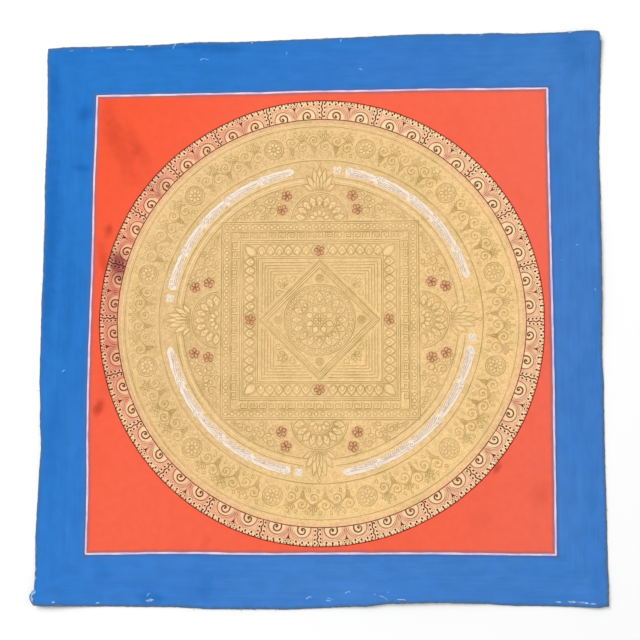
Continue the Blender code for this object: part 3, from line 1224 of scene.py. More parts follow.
@dataclass
class FrameLine:
    """The white line between the blue margin and the red field, with both grounds."""

    top_left: Spot = Spot(-203.8, 202.4)
    top_right: Spot = Spot(204.5, 202.7)
    bottom_right: Spot = Spot(203.0, -207.3)
    bottom_left: Spot = Spot(-205.1, -209.8)
    top: tuple[Pair, ...] = (
        (0.0, 0.0), (0.38, 0.2), (0.46, 0.75), (0.60, 0.6), (0.75, 0.75), (0.86, 0.4), (1.0, 0.0))
    right: tuple[Pair, ...] = (
        (0.0, 0.0), (0.10, -0.3), (0.20, 0.0), (0.32, 0.2), (0.45, 0.7), (0.65, 0.85),
        (0.76, 0.4), (0.88, 0.35), (1.0, 0.0))
    bottom: tuple[Pair, ...] = (
        (0.0, 0.0), (0.14, -0.65), (0.28, -1.1), (0.42, -0.8), (0.60, -0.3), (0.68, -0.4),
        (0.76, -1.0), (0.86, -0.95), (0.93, -0.2), (1.0, 0.0))
    left: tuple[Pair, ...] = (
        (0.0, 0.0), (0.14, 0.0), (0.26, 1.25), (0.36, 1.75), (0.46, 1.4), (0.62, 0.65),
        (0.72, 0.6), (0.80, 0.95), (0.92, 0.15), (1.0, 0.0))
    width: float = 1.6
    length: float = 408.0  # about how long each side is
    side_points: int = 150
    rows: int = 15  # how many rows of points each ground has across it
    bare_rim: float = 0.9  # how far inside the cut the blue ends
    ragged: float = 0.5  # how much that varies
    under_ring: float = 197.0  # the red runs this far in, under the ring's edge
    blue_layer: float = 0.04  # how high each ground lies above the cloth
    red_layer: float = 0.045

    def sides(self, share: Array) -> list[Array]:
        """The middle of each side, clockwise from the top, in millimetres in the frame.

        Args:
            share: the shares of a side's length, from its start clockwise.

        Returns:
            A list of points for each side. The line wanders outward by its tables.
        """
        corners = np.array((self.top_left, self.top_right, self.bottom_right, self.bottom_left))
        ruled = []
        for start, end, table in zip(corners, np.roll(corners, -1, 0),
                                     (self.top, self.right, self.bottom, self.left)):
            run = end - start
            outward = np.array((-run[1], run[0])) / np.hypot(*run)
            wander = np.interp(share, *np.array(table).T)
            ruled.append(start + run * share[:, None] + outward * wander[:, None])
        return ruled

    def square(self, count: int) -> Array:
        """The line's middle all the way round, with `count` points a side."""
        return np.concatenate(self.sides(np.arange(count) / count))

    def margin(self, workshop: Workshop) -> None:
        """Lay the blue from just inside the cut edge to the line."""
        count, rng = self.side_points, np.random.default_rng(21)
        line, cut = self.square(count), workshop.cloth.rim(count) / MM
        way = line - cut
        level = np.tile(np.repeat((True, False), count), 2)
        reach = np.abs(np.where(level, way[:, 1], way[:, 0]))
        rough = rng.uniform(-self.ragged, self.ragged, len(cut))
        bare = self.bare_rim + 0.5 * (rough + np.roll(rough, 1))
        outer = cut + way * (bare / reach)[:, None]
        shares = 0.5 - 0.5 * np.cos(np.linspace(0.0, np.pi, self.rows))
        spots = np.concatenate([outer + (line - outer) * share for share in shares])
        marks = {"from_cut": np.concatenate([reach * share for share in shares]),
                 "from_line": np.concatenate([reach * (1.0 - share) for share in shares])}
        faces = grid_faces(len(shares), len(line), True)[:, ::-1]
        above = self.blue_layer * MM
        workshop.lay("blue_margin", spots * MM, above, [faces], Paint.BLUE, marks)

    def field(self, workshop: Workshop) -> None:
        """Lay the red from the line to the ring."""
        line = self.square(self.side_points)
        away = line - DISC_AT
        edge = DISC_AT + away * (self.under_ring / np.hypot(*away.T))[:, None]
        shares = 1.0 - np.cos(np.linspace(0.0, 0.5 * np.pi, self.rows))
        spots = np.concatenate([line + (edge - line) * share for share in shares])
        reach = np.abs(edge - line).max(1)
        marks = {"from_line": np.concatenate([reach * share for share in shares])}
        faces = grid_faces(len(shares), len(line), True)[:, ::-1]
        above = self.red_layer * MM
        workshop.lay("red_field", spots * MM, above, [faces], Paint.RED, marks)

    def line(self, workshop: Workshop) -> None:
        """Draw the line side by side, each a little past its corners."""
        brush = Brush(layer=0.08, crown=0.10, step=2.0, shake=0.12, at=MIDDLE,
                      swings=(96.0, 43.0, 20.0), seed=5)
        past = 0.5 * self.width / self.length
        for side in self.sides(np.linspace(-past, 1.0 + past, self.side_points)):
            brush.stroke(side, self.width, taper=(0.3, 0.5))
        brush.lay(workshop, "frame_line", Paint.WHITE)

    def build(self, workshop: Workshop) -> None:
        """Lay both grounds, then the line over their joint."""
        self.margin(workshop)
        self.field(workshop)
        self.line(workshop)


# ---- The scroll border ----


@dataclass
class ScrollRing:
    """The border round the disc: pairs of scrolls that face a wedge, parted by wavy stems."""

    inner: float = 181.5
    outer: float = 197.7
    turning: float = 190.0  # the radius by which its dots are turned
    units: int = 24
    first: float = 0.6  # the bearing of the first stem
    spokes: int = 480
    layer: float = 0.065  # how high its ground lies above the cloth
    overlap: Pair = (0.5, 0.3)  # how far its ground runs under the gold and over the red
    scroll_at: float = 11.5  # how far each scroll stands from its wedge
    eye: Spot = Spot(-0.2, 3.2)  # the middle of its spiral
    bow: Spot = Spot(0.0, 1.9)  # the middle of its horseshoe
    crest_eye: Spot = Spot(2.15, 13.4)  # the ring beside the wedge
    wedge_shape: tuple[Pair, ...] = (
        (-1.8, 12.1), (0.0, 11.3), (1.8, 12.1), (0.8, 10.0), (0.1, 7.7), (-0.8, 10.0))
    dots: tuple[Spot, ...] = (Spot(7.0, 13.2), Spot(12.3, 13.8), Spot(17.6, 13.3))
    stem_dots: tuple[Spot, ...] = (Spot(2.1, 2.4), Spot(2.3, 6.2), Spot(2.6, 9.9), Spot(2.5, 13.3))
    unit_lobes: int = 18  # how many lobes each unit has
    drift: float = 0.15  # how far, in degrees, a stem or a wedge is out of place
    strays: tuple[Pair, ...] = (  # bearing, and how far out
        (0.0, 0.6), (40.0, 0.5), (65.0, 0.2), (90.0, -1.0), (120.0, 0.5), (150.0, -0.3),
        (170.0, -0.5), (195.0, 0.1), (240.0, -0.2), (275.0, -0.6), (303.0, 0.8), (330.0, -0.1),
        (360.0, 0.6))

    def __post_init__(self) -> None:
        """Take up a brush for each paint, in the order in which they lie."""
        self.rng = np.random.default_rng(31)
        self.cream = Brush(layer=0.09, crown=0.03, seed=32)
        self.hair = Brush(layer=0.105, crown=0.03, step=0.9, shake=0.05, seed=33)
        self.brown = Brush(layer=0.11, crown=0.05, step=0.6, shake=0.08, seed=34)
        self.maroon = Brush(layer=0.115, crown=0.05, step=0.9, shake=0.12, seed=35)

    def bend(self, points: Array, bearing: float) -> Array:
        """Bend a drawing whose y is the height above the inner line."""
        middle = 0.5 * (self.outer - self.inner)
        return bent(np.asarray(points, float) - (0.0, middle), self.inner + middle, bearing)

    def strayed(self, points: Array) -> Array:
        """Let the outer line stray from its circle, and all within the border in proportion."""
        radius = np.hypot(*points.T)
        out = np.interp(np.degrees(np.arctan2(*points.T)) % 360.0, *np.array(self.strays).T)
        share = np.clip((radius - self.inner) / (self.outer - self.inner), 0.0, None)
        return points * (1.0 + out * share / radius)[:, None]

    def spot(self, x: float, y: float, bearing: float) -> Array:
        """Bend one point."""
        return self.bend(np.array(((x, y),)), bearing)[0]

    def ground(self, workshop: Workshop) -> None:
        """Lay the peach ground, a little over the red and the gold."""
        under, over = self.overlap
        radii = np.linspace(self.inner - under, self.outer + over, 8)
        spots = [polar(radius, around(self.spokes)) for radius in radii]
        faces = grid_faces(len(radii), self.spokes, True)
        spots = (self.strayed(np.concatenate(spots)) + DISC_AT) * MM
        workshop.lay("ring_ground", spots, self.layer * MM, [faces], Paint.RING)

    def scroll(self, bearing: float, side: int) -> None:
        """Draw one scroll with its horseshoe. Its tail and its echoes are towards the wedge."""
        def put(points: Array) -> Array:
            """Mirror a drawing whose x runs towards the wedge, and bend it."""
            flipped = np.asarray(points, float) * (-side, 1.0) + (side * self.scroll_at, 0.0)
            return self.bend(flipped, bearing)

        low = np.array(((7.4, 0.4), (-7.4, 0.4)))
        self.cream.patch(put(np.concatenate((arc(7.6, -100.0, 100.0, self.bow), low))), 0.0)
        self.hair.stroke(put(arc(7.7, -105.0, 72.0, self.bow)), 0.95, taper=(0.5, 11.0))
        for radius, reach in ((9.2, 12.0), (10.5, 30.0)):
            self.hair.stroke(put(arc(radius, reach, 88.0, self.bow)), 0.42, taper=(4.0, 1.0))
        tail = np.concatenate((((4.7, 0.1),), curl(122.0, -400.0, 4.6, 0.8, self.eye)))
        self.brown.stroke(put(tail), 1.25, taper=(0.6, 1.2))
        self.brown.dot(one(put, *self.eye), 1.0)

    def crest(self, bearing: float, side: int) -> None:
        """Draw what stands above one scroll: the ring beside the wedge and the petals."""
        eye = self.spot(side * self.crest_eye.x, self.crest_eye.y, bearing)
        self.cream.dot(eye, 1.9)
        self.hair.stroke(ring(1.9, eye), 0.45, True)
        self.maroon.dot(eye, 0.75)
        for x, y in self.dots:
            at = self.spot(side * x, y, bearing)
            turn = bearing + math.degrees(side * x / self.turning)
            self.cream.dot(at, 2.3, 1.1, turn)
            self.hair.stroke(arc(2.4, turn + 100.0, turn + 260.0, at), 0.36)
            self.maroon.dot(at, 0.9, 1.35, turn)

    def wedge(self, bearing: float) -> None:
        """Draw the dark wedge between two scrolls, on its thin stem."""
        self.maroon.patch(self.bend(np.array(self.wedge_shape), bearing))
        for side in (-1, 1):
            stem = ((side * 0.5, 8.4), (side * 0.75, 5.0), (side * 0.6, 0.6))
            self.hair.stroke(self.bend(np.array(stem), bearing), 0.45)

    def stem(self, bearing: float) -> None:
        """Draw the wavy stem between two units, with its leaves and their dots."""
        up = np.linspace(0.2, 15.8, 18)
        sway = 0.62 * np.sin(up * 1.15 + self.rng.uniform(0.0, 6.0))
        for x, y in self.stem_dots:
            for side in (-1, 1):
                at = self.spot(side * x, y + 0.7 * side * self.rng.uniform(0.3, 1.0), bearing)
                self.cream.dot(at, 1.9)
                self.hair.stroke(arc(1.9, bearing + side * 20.0, bearing + side * 150.0, at), 0.36)
                self.maroon.dot(at, 0.86, 1.25, bearing + side * 40.0)
        self.maroon.stroke(self.bend(np.stack((sway, up), -1), bearing), 1.0)

    def lobes(self) -> None:
        """Set the row of pale lobes against the outer line, with dark notches between them."""
        count = self.units * self.unit_lobes
        half_step = 180.0 / count
        for number, bearing in enumerate(around(count) + half_step):
            self.cream.dot(polar(self.outer - 1.9, bearing), 1.35, 1.2, bearing)
            notch = bearing + half_step
            size = 0.72 if number % 2 else 0.36
            self.maroon.dot(polar(self.outer - 0.7, notch), size, 1.5, notch)

    def build(self, workshop: Workshop) -> None:
        """Lay the ground, draw every unit and lay the four paints in order."""
        self.ground(workshop)
        self.lobes()
        for start in self.first + around(self.units):
            middle = start + 180.0 / self.units + self.rng.normal(0.0, self.drift)
            self.stem(start + self.rng.normal(0.0, self.drift))
            self.wedge(middle)
            for side in (-1, 1):
                self.scroll(middle, side)
                self.crest(middle, side)
        self.brown.stroke(ring(self.inner), 0.85, True)
        self.maroon.stroke(ring(self.outer + 0.45), 0.85, True)
        for brush in (self.cream, self.hair, self.brown, self.maroon):
            brush.spots = [self.strayed(spots) for spots in brush.spots]
        self.cream.lay(workshop, "ring_cream", Paint.CREAM)
        self.hair.lay(workshop, "ring_hairlines", Paint.HAIR)
        self.brown.lay(workshop, "ring_scrolls", Paint.BROWN)
        self.maroon.lay(workshop, "ring_maroon", Paint.MAROON)


# ---- The gold disc ----


@dataclass
class GoldGround:
    """The gold disc under all of its drawing."""

    radius: float = 182.0
    rings: int = 56
    spokes: int = 300
    layer: float = 0.055  # how high it lies above the cloth

    def build(self, workshop: Workshop) -> None:
        """Lay a round grid with a point at its middle."""
        radii = np.linspace(self.radius, self.radius / self.rings, self.rings)
        spots = [polar(radius, around(self.spokes)) for radius in radii]
        spots = np.concatenate(spots + [np.zeros((1, 2))])
        last, numbers = len(spots) - 1, np.arange(self.spokes)
        first = last - self.spokes
        hub = np.stack((first + numbers, first + (numbers + 1) % self.spokes,
                        np.full(self.spokes, last)), -1)
        faces = [grid_faces(len(radii), self.spokes, True)[:, ::-1], hub[:, ::-1]]
        spots = (spots + DISC_AT) * MM
        workshop.lay("gold_ground", spots, self.layer * MM, faces, Paint.GOLD)


@dataclass
class OuterBand:
    """The circles of the disc, and the wide band of blossoms and vines between them."""

    lines: tuple[Pair, ...] = ((174.9, 0.6), (143.9, 0.9))  # radius and width
    # pale rings of painted highlight beside the raised gold circles: radius and width
    highlight_lines: tuple[Pair, ...] = ((177.2, 0.8), (172.2, 0.5), (146.2, 0.4))
    middle: float = 159.5
    blossoms: int = 12
    first: float = 15.0  # the bearing of the first blossom
    blossom: float = 8.8
    halo: int = 16  # how many dots stand round a blossom
    vine_length: float = 61.0
    bend: float = 10.2  # from one bend of a vine to the next
    palmette: tuple[Pair, ...] = (  # each leaf's lean and length
        (-4.6, 4.4), (-2.4, 6.4), (0.0, 7.8), (2.4, 6.4), (4.6, 4.4))

    def circles(self, pen: Gilder) -> None:
        """Draw the plain circles, and the pale rings of painted highlight beside them."""
        for radius, width in self.lines:
            pen.line(ring(radius), width, True)
        for radius, width in self.highlight_lines:
            pen.pale.stroke(ring(radius), width, True)

    def flower(self, pen: Gilder, bearing: float) -> None:
        """Draw one blossom in its double circle."""
        at = polar(self.middle, bearing)
        pen.line(ring(self.blossom, at), 0.8, True)
        pen.dark.stroke(ring(self.blossom - 1.5, at), 0.45, True)
        pen.bloom(at, 2.2, 6.6, 8, 3.4, bearing)
        pen.bead(at, 1.5)
        for turn in bearing + around(self.halo):
            pen.pale.dot(at + polar(self.blossom + 1.6, turn), 0.7)

    def vine(self, pen: Gilder, bearing: float) -> None:
        """Draw the vine between two blossoms: in each bend a curl, a palmette and two buds."""
        def put(points: Array) -> Array:
            """Bend a drawing round the middle of the band."""
            return bent(points, self.middle, bearing)

        pen.line(put(wave(self.vine_length, 2.0 * self.bend, 3.6)), 0.9)
        for number in range(6):
            x, side = self.bend * (number - 2.5), (1, -1)[number % 2]
            up = 0.0 if side < 0 else 180.0
            pen.line(put(curl(90.0 * side + 90.0, 520.0 * side, 4.9, 0.7, (x, side * 3.0))), 0.75)
            pen.dark.dot(one(put, x, side * 3.0), 0.8)
            for lean, size in self.palmette:
                foot = (x + 0.35 * lean, -side * 2.2)
                pen.leaf(put(placed(petal(size, 2.3, 0.8 * lean), foot, up)), 0.55)
            pen.bead(one(put, x, -side * 11.4), 1.0, 0.5)
            for hand in (-1.0, 1.0):
                bud = placed(petal(3.9, 2.0, 0.8 * hand), (x + 4.4 * hand, side * 7.6), 180.0 - up)
                pen.leaf(put(bud), 0.5)
                pen.pale.dot(one(put, x + 2.2 * hand, side * 10.6), 0.75)

    def build(self, workshop: Workshop) -> None:
        """Draw the band and lay it on the gold."""
        pen = Gilder(41)
        self.circles(pen)
        for bearing in around(self.blossoms):
            self.flower(pen, self.first + bearing)
            self.vine(pen, bearing)
        pen.lay(workshop, "outer_band")


@dataclass
class CloudBand:
    """The ring of white clouds, broken where the court's four spires reach across it."""

    middle: float = 135.5
    half: float = 3.8
    spans: tuple[Pair, ...] = (  # the bearings between the breaks
        (10.0, 73.0), (100.2, 169.6), (191.0, 258.0), (281.6, 348.6))
    clouds: int = 5  # how many lie in each span
    rounding: float = 0.07  # the share of a cloud that its head takes to widen
    covered: float = 0.21  # the share that thins out under the next one
    free: float = 0.13  # the same where no cloud follows
    billows: float = 9.4  # how many radians of ripple a cloud's edges have
    fringe_pitch: float = 2.1
    curls: tuple[Triple, ...] = (  # along, outward and radius
        (2.7, 0.9, 2.3), (5.4, -2.2, 1.6), (7.2, 1.5, 1.7))
    flow: Triple = (8.8, 1.2, 0.7)  # where the long line starts, its height there and at the tail
    shells: Pair = (4.2, 2.7)  # the radii of each pair of arcs
    shell_at: float = 9.6  # where the first pair stands
    shell_pitch: float = 4.3
    puffs: tuple[Triple, ...] = (  # bearing, outward and radius
        (-0.8, 1.4, 2.0), (0.7, 1.7, 1.9), (0.0, 0.0, 2.4), (-0.7, -1.7, 1.9), (0.6, -1.8, 1.8))

    def __post_init__(self) -> None:
        """Take up the three brushes."""
        self.fringe = Brush(layer=0.08, crown=0.04, seed=50)
        self.white = Brush(layer=0.10, crown=0.05, seed=51)
        self.grey = Brush(layer=0.16, crown=0.03, step=0.9, shake=0.14, seed=52)

    def cloud(self, start: float, sweep: float, thinning: float) -> None:
        """Paint one cloud: curls at its head, shells along its inner side, and a tail.

        Args:
            start: the bearing of its head.
            sweep: how many degrees it takes up.
            thinning: the share of its length over which its tail thins.
        """
        length = math.radians(sweep) * self.middle

        def put(points: Array) -> Array:
            """Bend a drawing that starts at the cloud's head."""
            return bent(points, self.middle, start)

        share = np.linspace(0.0, 1.0, 33)
        ends = np.minimum(share / self.rounding, (1.0 - share) / thinning)
        ends = np.sqrt(np.clip(ends, 0.0, 1.0))
        ripple = np.abs(np.sin(share * self.billows))
        upper = (self.half * (1.0 - 0.12 * share) + 0.4 * ripple) * ends
        lower = -(self.half * (1.0 - 0.34 * share) + 0.5 * ripple) * ends
        x = (1.16 * share - 0.02) * length
        rows = [np.stack((x, lower + (upper - lower) * part), -1) for part in (0.0, 0.5, 1.0)]
        crown = np.repeat((0.0, self.white.crown, 0.0), len(share))
        self.white.gather(put(np.concatenate(rows)), crown, grid_faces(3, len(share), False))
        for along in np.arange(1.5, 0.9 * length, self.fringe_pitch):
            self.fringe.dot(one(put, along, np.interp(along, x, lower) - 0.2), 1.35)
        for number, (along, out, size) in enumerate(self.curls):
            hand = (1, -1)[number % 2]
            self.white.dot(one(put, along, out), size + 0.4)
            self.grey.stroke(put(curl(-80.0 * hand, 430.0 * hand, size, 0.4, (along, out))), 0.55)
        for along in np.arange(self.shell_at, 0.97 * length, self.shell_pitch):
            foot = (along, np.interp(along, x, lower) - 0.9)
            for radius in self.shells:
                self.grey.stroke(put(arc(radius, -74.0, 44.0, foot)), 0.6, taper=(0.5, 2.0))
        first, high, low = self.flow
        way = np.linspace(0.0, 1.0, 14)
        rise = high + (low - high) * way + 0.45 * np.sin(5.0 * way + high)
        line = np.stack((first + (length + 1.5 - first) * way, rise), -1)
        self.grey.stroke(put(line), 0.48, taper=(3.0, 6.0))
        for edge in (lower, upper):
            self.grey.stroke(put(np.stack((x, edge), -1)[2:-4]), 0.35)

    def tuft(self, bearing: float) -> None:
        """Paint the small separate puff beside a spire."""
        for turn, out, size in self.puffs:
            at = polar(self.middle + out, bearing + turn)
            self.white.dot(at, size)
            self.grey.stroke(curl(60.0 + 90.0 * turn, 300.0, 0.6 * size, 0.4, at), 0.45)

    def build(self, workshop: Workshop) -> None:
        """Paint the clouds between the breaks, from the last to the first."""
        rng = np.random.default_rng(53)
        for start, end in self.spans:
            heads = np.linspace(start, end, self.clouds + 1)
            heads[1:-1] += rng.uniform(-1.2, 1.2, self.clouds - 1)
            for head, tail in reversed(list(zip(heads, heads[1:]))):
                self.cloud(head, tail - head, self.free if tail == end else self.covered)
            self.tuft(start - 3.2)
        self.fringe.lay(workshop, "cloud_fringe", Paint.CREAM)
        self.white.lay(workshop, "cloud_band", Paint.CLOUD)
        self.grey.lay(workshop, "cloud_lines", Paint.CLOUD_CURL)


@dataclass
class Court:
    """The square court of straight borders, with a lotus fan and a spire on each side of it."""

    half: float = 88.0
    spire: float = 6.2  # half of the gap that each spire takes, in degrees
    circles: tuple[Pair, ...] = ((122.6, 0.85), (128.9, 0.75))  # radius and width
    # a pale ring of painted highlight between the circles: radius and width
    highlight_circle: Pair = (125.6, 1.5)
    lines: tuple[Pair, ...] = (  # half of each square's side, and the line's width
        (88.0, 1.0), (86.1, 0.5), (80.3, 0.6), (79.0, 0.85), (71.2, 0.85), (69.6, 0.5),
        (68.0, 0.6), (56.6, 0.6), (55.0, 0.95))
    # half sides of the pale squares of painted highlight
    highlight_lines: Triple = (84.9, 70.4, 54.0)
    diamond: tuple[Pair, ...] = ((53.6, 0.9), (51.8, 0.5), (49.4, 0.5), (46.6, 0.75))
    bead_row: float = 83.2
    bead_steps: int = 29
    key: tuple[Pair, ...] = (
        (0.0, 0.0), (0.0, 5.6), (6.2, 5.6), (6.2, 1.7), (2.1, 1.7), (2.1, 3.8), (4.2, 3.8))
    hub: Spot = Spot(0.0, 1.2)  # the middle of a fan's arcs, above the court's side
    fan_lines: tuple[Pair, ...] = ((25.2, 0.95), (23.6, 0.5), (12.0, 0.7), (10.6, 0.5), (3.8, 0.6))
    spire_leaves: tuple[Triple, ...] = (  # bearing, length and width
        (-64.0, 11.0, 5.0), (64.0, 11.0, 5.0), (-38.0, 17.0, 6.0), (38.0, 17.0, 6.0),
        (-15.0, 22.0, 6.4), (15.0, 22.0, 6.4), (0.0, 24.0, 6.0))
    curls: tuple[Triple, ...] = (  # across, up and radius
        (43.5, 20.0, 4.6), (42.0, 9.4, 4.9), (53.0, 12.4, 4.9), (51.8, 3.4, 3.0),
        (62.6, 7.6, 4.4), (70.6, 4.6, 3.2), (76.6, 2.4, 1.9), (60.4, 15.6, 2.2), (34.4, 27.6, 2.4))
    brackets: tuple[float, ...] = (51.4, 48.8, 46.2, 43.6, 41.0)
    spray: tuple[Pair, ...] = (  # each leaf's bearing and length
        (-62.0, 5.5), (-31.0, 7.5), (0.0, 9.0), (31.0, 7.5), (62.0, 5.5))

    def arcs(self, pen: Gilder) -> None:
        """Draw the circles round the court, broken by its spires."""
        for side in SIDES:
            start, end = side + self.spire, side + 90.0 - self.spire
            for radius, width in self.circles:
                pen.line(arc(radius, start, end), width)
            # painted highlight: the pale ring between the circles
            radius, width = self.highlight_circle
            pen.pale.stroke(arc(radius, start, end), width)

    def squares(self, pen: Gilder) -> None:
        """Draw the nested squares and the nested diamonds."""
        square = np.array(((-1.0, 1.0), (1.0, 1.0), (1.0, -1.0), (-1.0, -1.0)))
        tips = np.array(((0.0, 1.0), (1.0, 0.0), (0.0, -1.0), (-1.0, 0.0)))
        for shape, sizes in ((square, self.lines), (tips, self.diamond)):
            for half, width in sizes:
                pen.line(shape * half, width, True)
        # painted highlight: pale squares beside the dark ones
        for half in self.highlight_lines:
            pen.pale.stroke(square * half, 0.8, True)

    def beads(self, pen: Gilder, side: float) -> None:
        """Draw the row of beads along one side, from corner to corner."""
        for x in np.linspace(-self.bead_row, self.bead_row, self.bead_steps + 1)[:-1]:
            pen.bead(turned(np.array((x, self.bead_row)), side), 1.9)

    def fret(self, pen: Gilder, side: float) -> None:
        """Draw the key pattern along one side."""
        for x in np.linspace(-70.6, 63.6, 17):
            pen.line(turned(np.array(self.key) + (x, 72.6), side), 0.7)

    def petals(self, pen: Gilder, side: float) -> None:
        """Draw the border of lotus petals along one side, and one across its corner."""
        for x in np.linspace(-52.0, 52.0, 14):
            foot = np.array((x, 57.6))
            pen.leaf(turned(placed(petal(9.6, 7.6), foot), side), 0.7)
            pen.dark.stroke(turned(placed(petal(6.0, 4.0), foot), side), 0.5, True)
            pen.pale.dot(turned(foot + (4.0, 8.2), side), 0.9)
        corner = turned(np.array((57.0, 57.0)), side)
        pen.leaf(placed(petal(14.0, 8.4), corner, side + 45.0), 0.7)

    def fan(self, pen: Gilder, side: float) -> None:
        """Draw the lotus fan on one side, its spire and the scrolling vines beside it."""
        def put(points: Array) -> Array:
            """Turn a drawing that stands on the court's top side."""
            return turned(np.asarray(points, float) + (0.0, self.half), side)

        for radius, width in self.fan_lines:
            pen.line(put(arc(radius, -88.0, 88.0, self.hub)), width)
        for turn in np.linspace(-80.0, 80.0, 9):
            foot = polar(12.4, turn) + self.hub
            pen.leaf(put(placed(petal(10.8, 7.0), foot, turn)), 0.65)
            pen.dark.stroke(put(placed(petal(6.6, 3.4), foot, turn)), 0.45, True)
        for turn in (-66.0, -33.0, 0.0, 33.0, 66.0):
            pen.leaf(put(placed(petal(6.2, 4.2), polar(4.0, turn) + self.hub, turn)), 0.55)
        for turn, length, width in self.spire_leaves:
            foot = (0.09 * turn, 27.6)
            pen.leaf(put(placed(petal(length, width, 0.05 * turn), foot, 0.6 * turn)), 0.7)
        pen.bead(one(put, 0.0, 53.4), 1.5)
        for hand in (-1, 1):
            for x, y, size in self.curls:
                pen.line(put(curl(200.0, 480.0, size, 0.6, (x, y)) * (hand, 1.0)), 0.75)
                for lean in (-44.0, -82.0):
                    leaf = placed(petal(1.1 * size, 0.6 * size, 0.5), (x, y), lean)
                    away = polar(1.12 * size, lean)
                    pen.leaf(put((leaf + away) * (hand, 1.0)), 0.5)
            for x in np.linspace(29.0, 80.0, 14):
                pen.pale.dot(one(put, hand * x, 1.9), 0.8)

    def corner(self, pen: Gilder, side: float) -> None:
        """Draw the brackets and the spray inside one corner, beside the diamond."""
        for inside in self.brackets:
            reach = 58.0 - inside
            ell = np.array(((reach, inside), (inside, inside), (inside, reach)))
            pen.line(turned(ell, side), 0.7)
        heart = np.array((30.5, 30.5))
        for turn, length in self.spray:
            pen.leaf(turned(placed(petal(length, 3.6), heart, 45.0 + turn), side), 0.55)
        for hand in (-1.0, 1.0):
            loop = turned(curl(120.0, -430.0, 3.6, 0.6) * (hand, 1.0), 45.0)
            pen.line(turned(loop + heart + 6.6 * np.array((-hand, hand)) - 0.6, side), 0.65)

    def build(self, workshop: Workshop) -> None:
        """Draw the court and lay it on the gold."""
        pen = Gilder(61)
        self.arcs(pen)
        self.squares(pen)
        for side in SIDES:
            self.beads(pen, side)
            self.fret(pen, side)
            self.petals(pen, side)
            self.fan(pen, side)
            self.corner(pen, side)
        pen.lay(workshop, "court")


@dataclass
class Heart:
    """The lotus at the middle of the court."""

    rings: tuple[Pair, ...] = (  # radius and width
        (31.6, 0.85), (30.2, 0.5), (25.8, 0.6), (15.2, 0.7), (13.9, 0.5), (5.8, 0.6))
    beads: int = 36

    def build(self, workshop: Workshop) -> None:
        """Draw the rings, the beads and the wheels of petals."""
        pen = Gilder(71, step=0.9)
        for radius, width in self.rings:
            pen.line(ring(radius), width, True)
        for bearing in around(self.beads):
            pen.bead(polar(28.0, bearing), 1.4, 0.5)
        pen.bloom(MIDDLE, 15.8, 25.2, 16, 6.2)
        pen.bloom(MIDDLE, 15.8, 21.4, 16, 3.0)
        pen.bloom(MIDDLE, 6.2, 13.5, 8, 5.8, 22.5)
        pen.bloom(MIDDLE, 1.4, 5.2, 8, 2.2)
        pen.bead(MIDDLE, 1.0, 0.45)
        for side in SIDES:
            at = polar(37.0, side)
            pen.line(ring(3.4, at), 0.6, True)
            pen.bloom(at, 0.8, 2.9, 6, 1.6, side)
            for step in range(-6, 7):
                pen.pale.dot(turned(np.array((3.6 * step, 49.2 - 3.6 * abs(step))), side), 0.9)
        pen.lay(workshop, "heart")


@dataclass
class Blossoms:
    """Small russet blossoms on a faded pink ground, beside each fan and at the diamond's tips."""

    places: tuple[Spot, ...] = (
        Spot(-29.5, 111.5), Spot(29.5, 111.5), Spot(-33.5, 99.0), Spot(33.5, 99.0),
        Spot(0.0, 61.8))
    size: float = 5.4

    def build(self, workshop: Workshop) -> None:
        """Paint the blossoms, each a little different."""
        rng = np.random.default_rng(81)
        pink = Brush(layer=0.11, crown=0.02, seed=82)
        russet = Brush(layer=0.15, crown=0.04, step=0.6, shake=0.14, seed=83)
        for side in SIDES:
            for place in self.places:
                at, turn = turned(np.array(place), side), rng.uniform(0.0, 72.0)
                pink.dot(at, 1.02 * self.size)
                for number in range(5):
                    lobe = turn + 72.0 * number + rng.uniform(-8.0, 8.0)
                    middle = at + polar(0.56 * self.size, lobe)
                    russet.stroke(curl(lobe + 150.0, 400.0, 0.42 * self.size, 0.8, middle), 0.8)
                russet.dot(at, 0.9)
        pink.lay(workshop, "blossom_grounds", Paint.BLUSH)
        russet.lay(workshop, "blossom_lines", Paint.BLOSSOM)


# ---- Wear ----


class Mark(NamedTuple):
    """A chip or a scratch, in millimetres in the frame."""

    x: float
    y: float
    long: float
    wide: float
    bearing: float


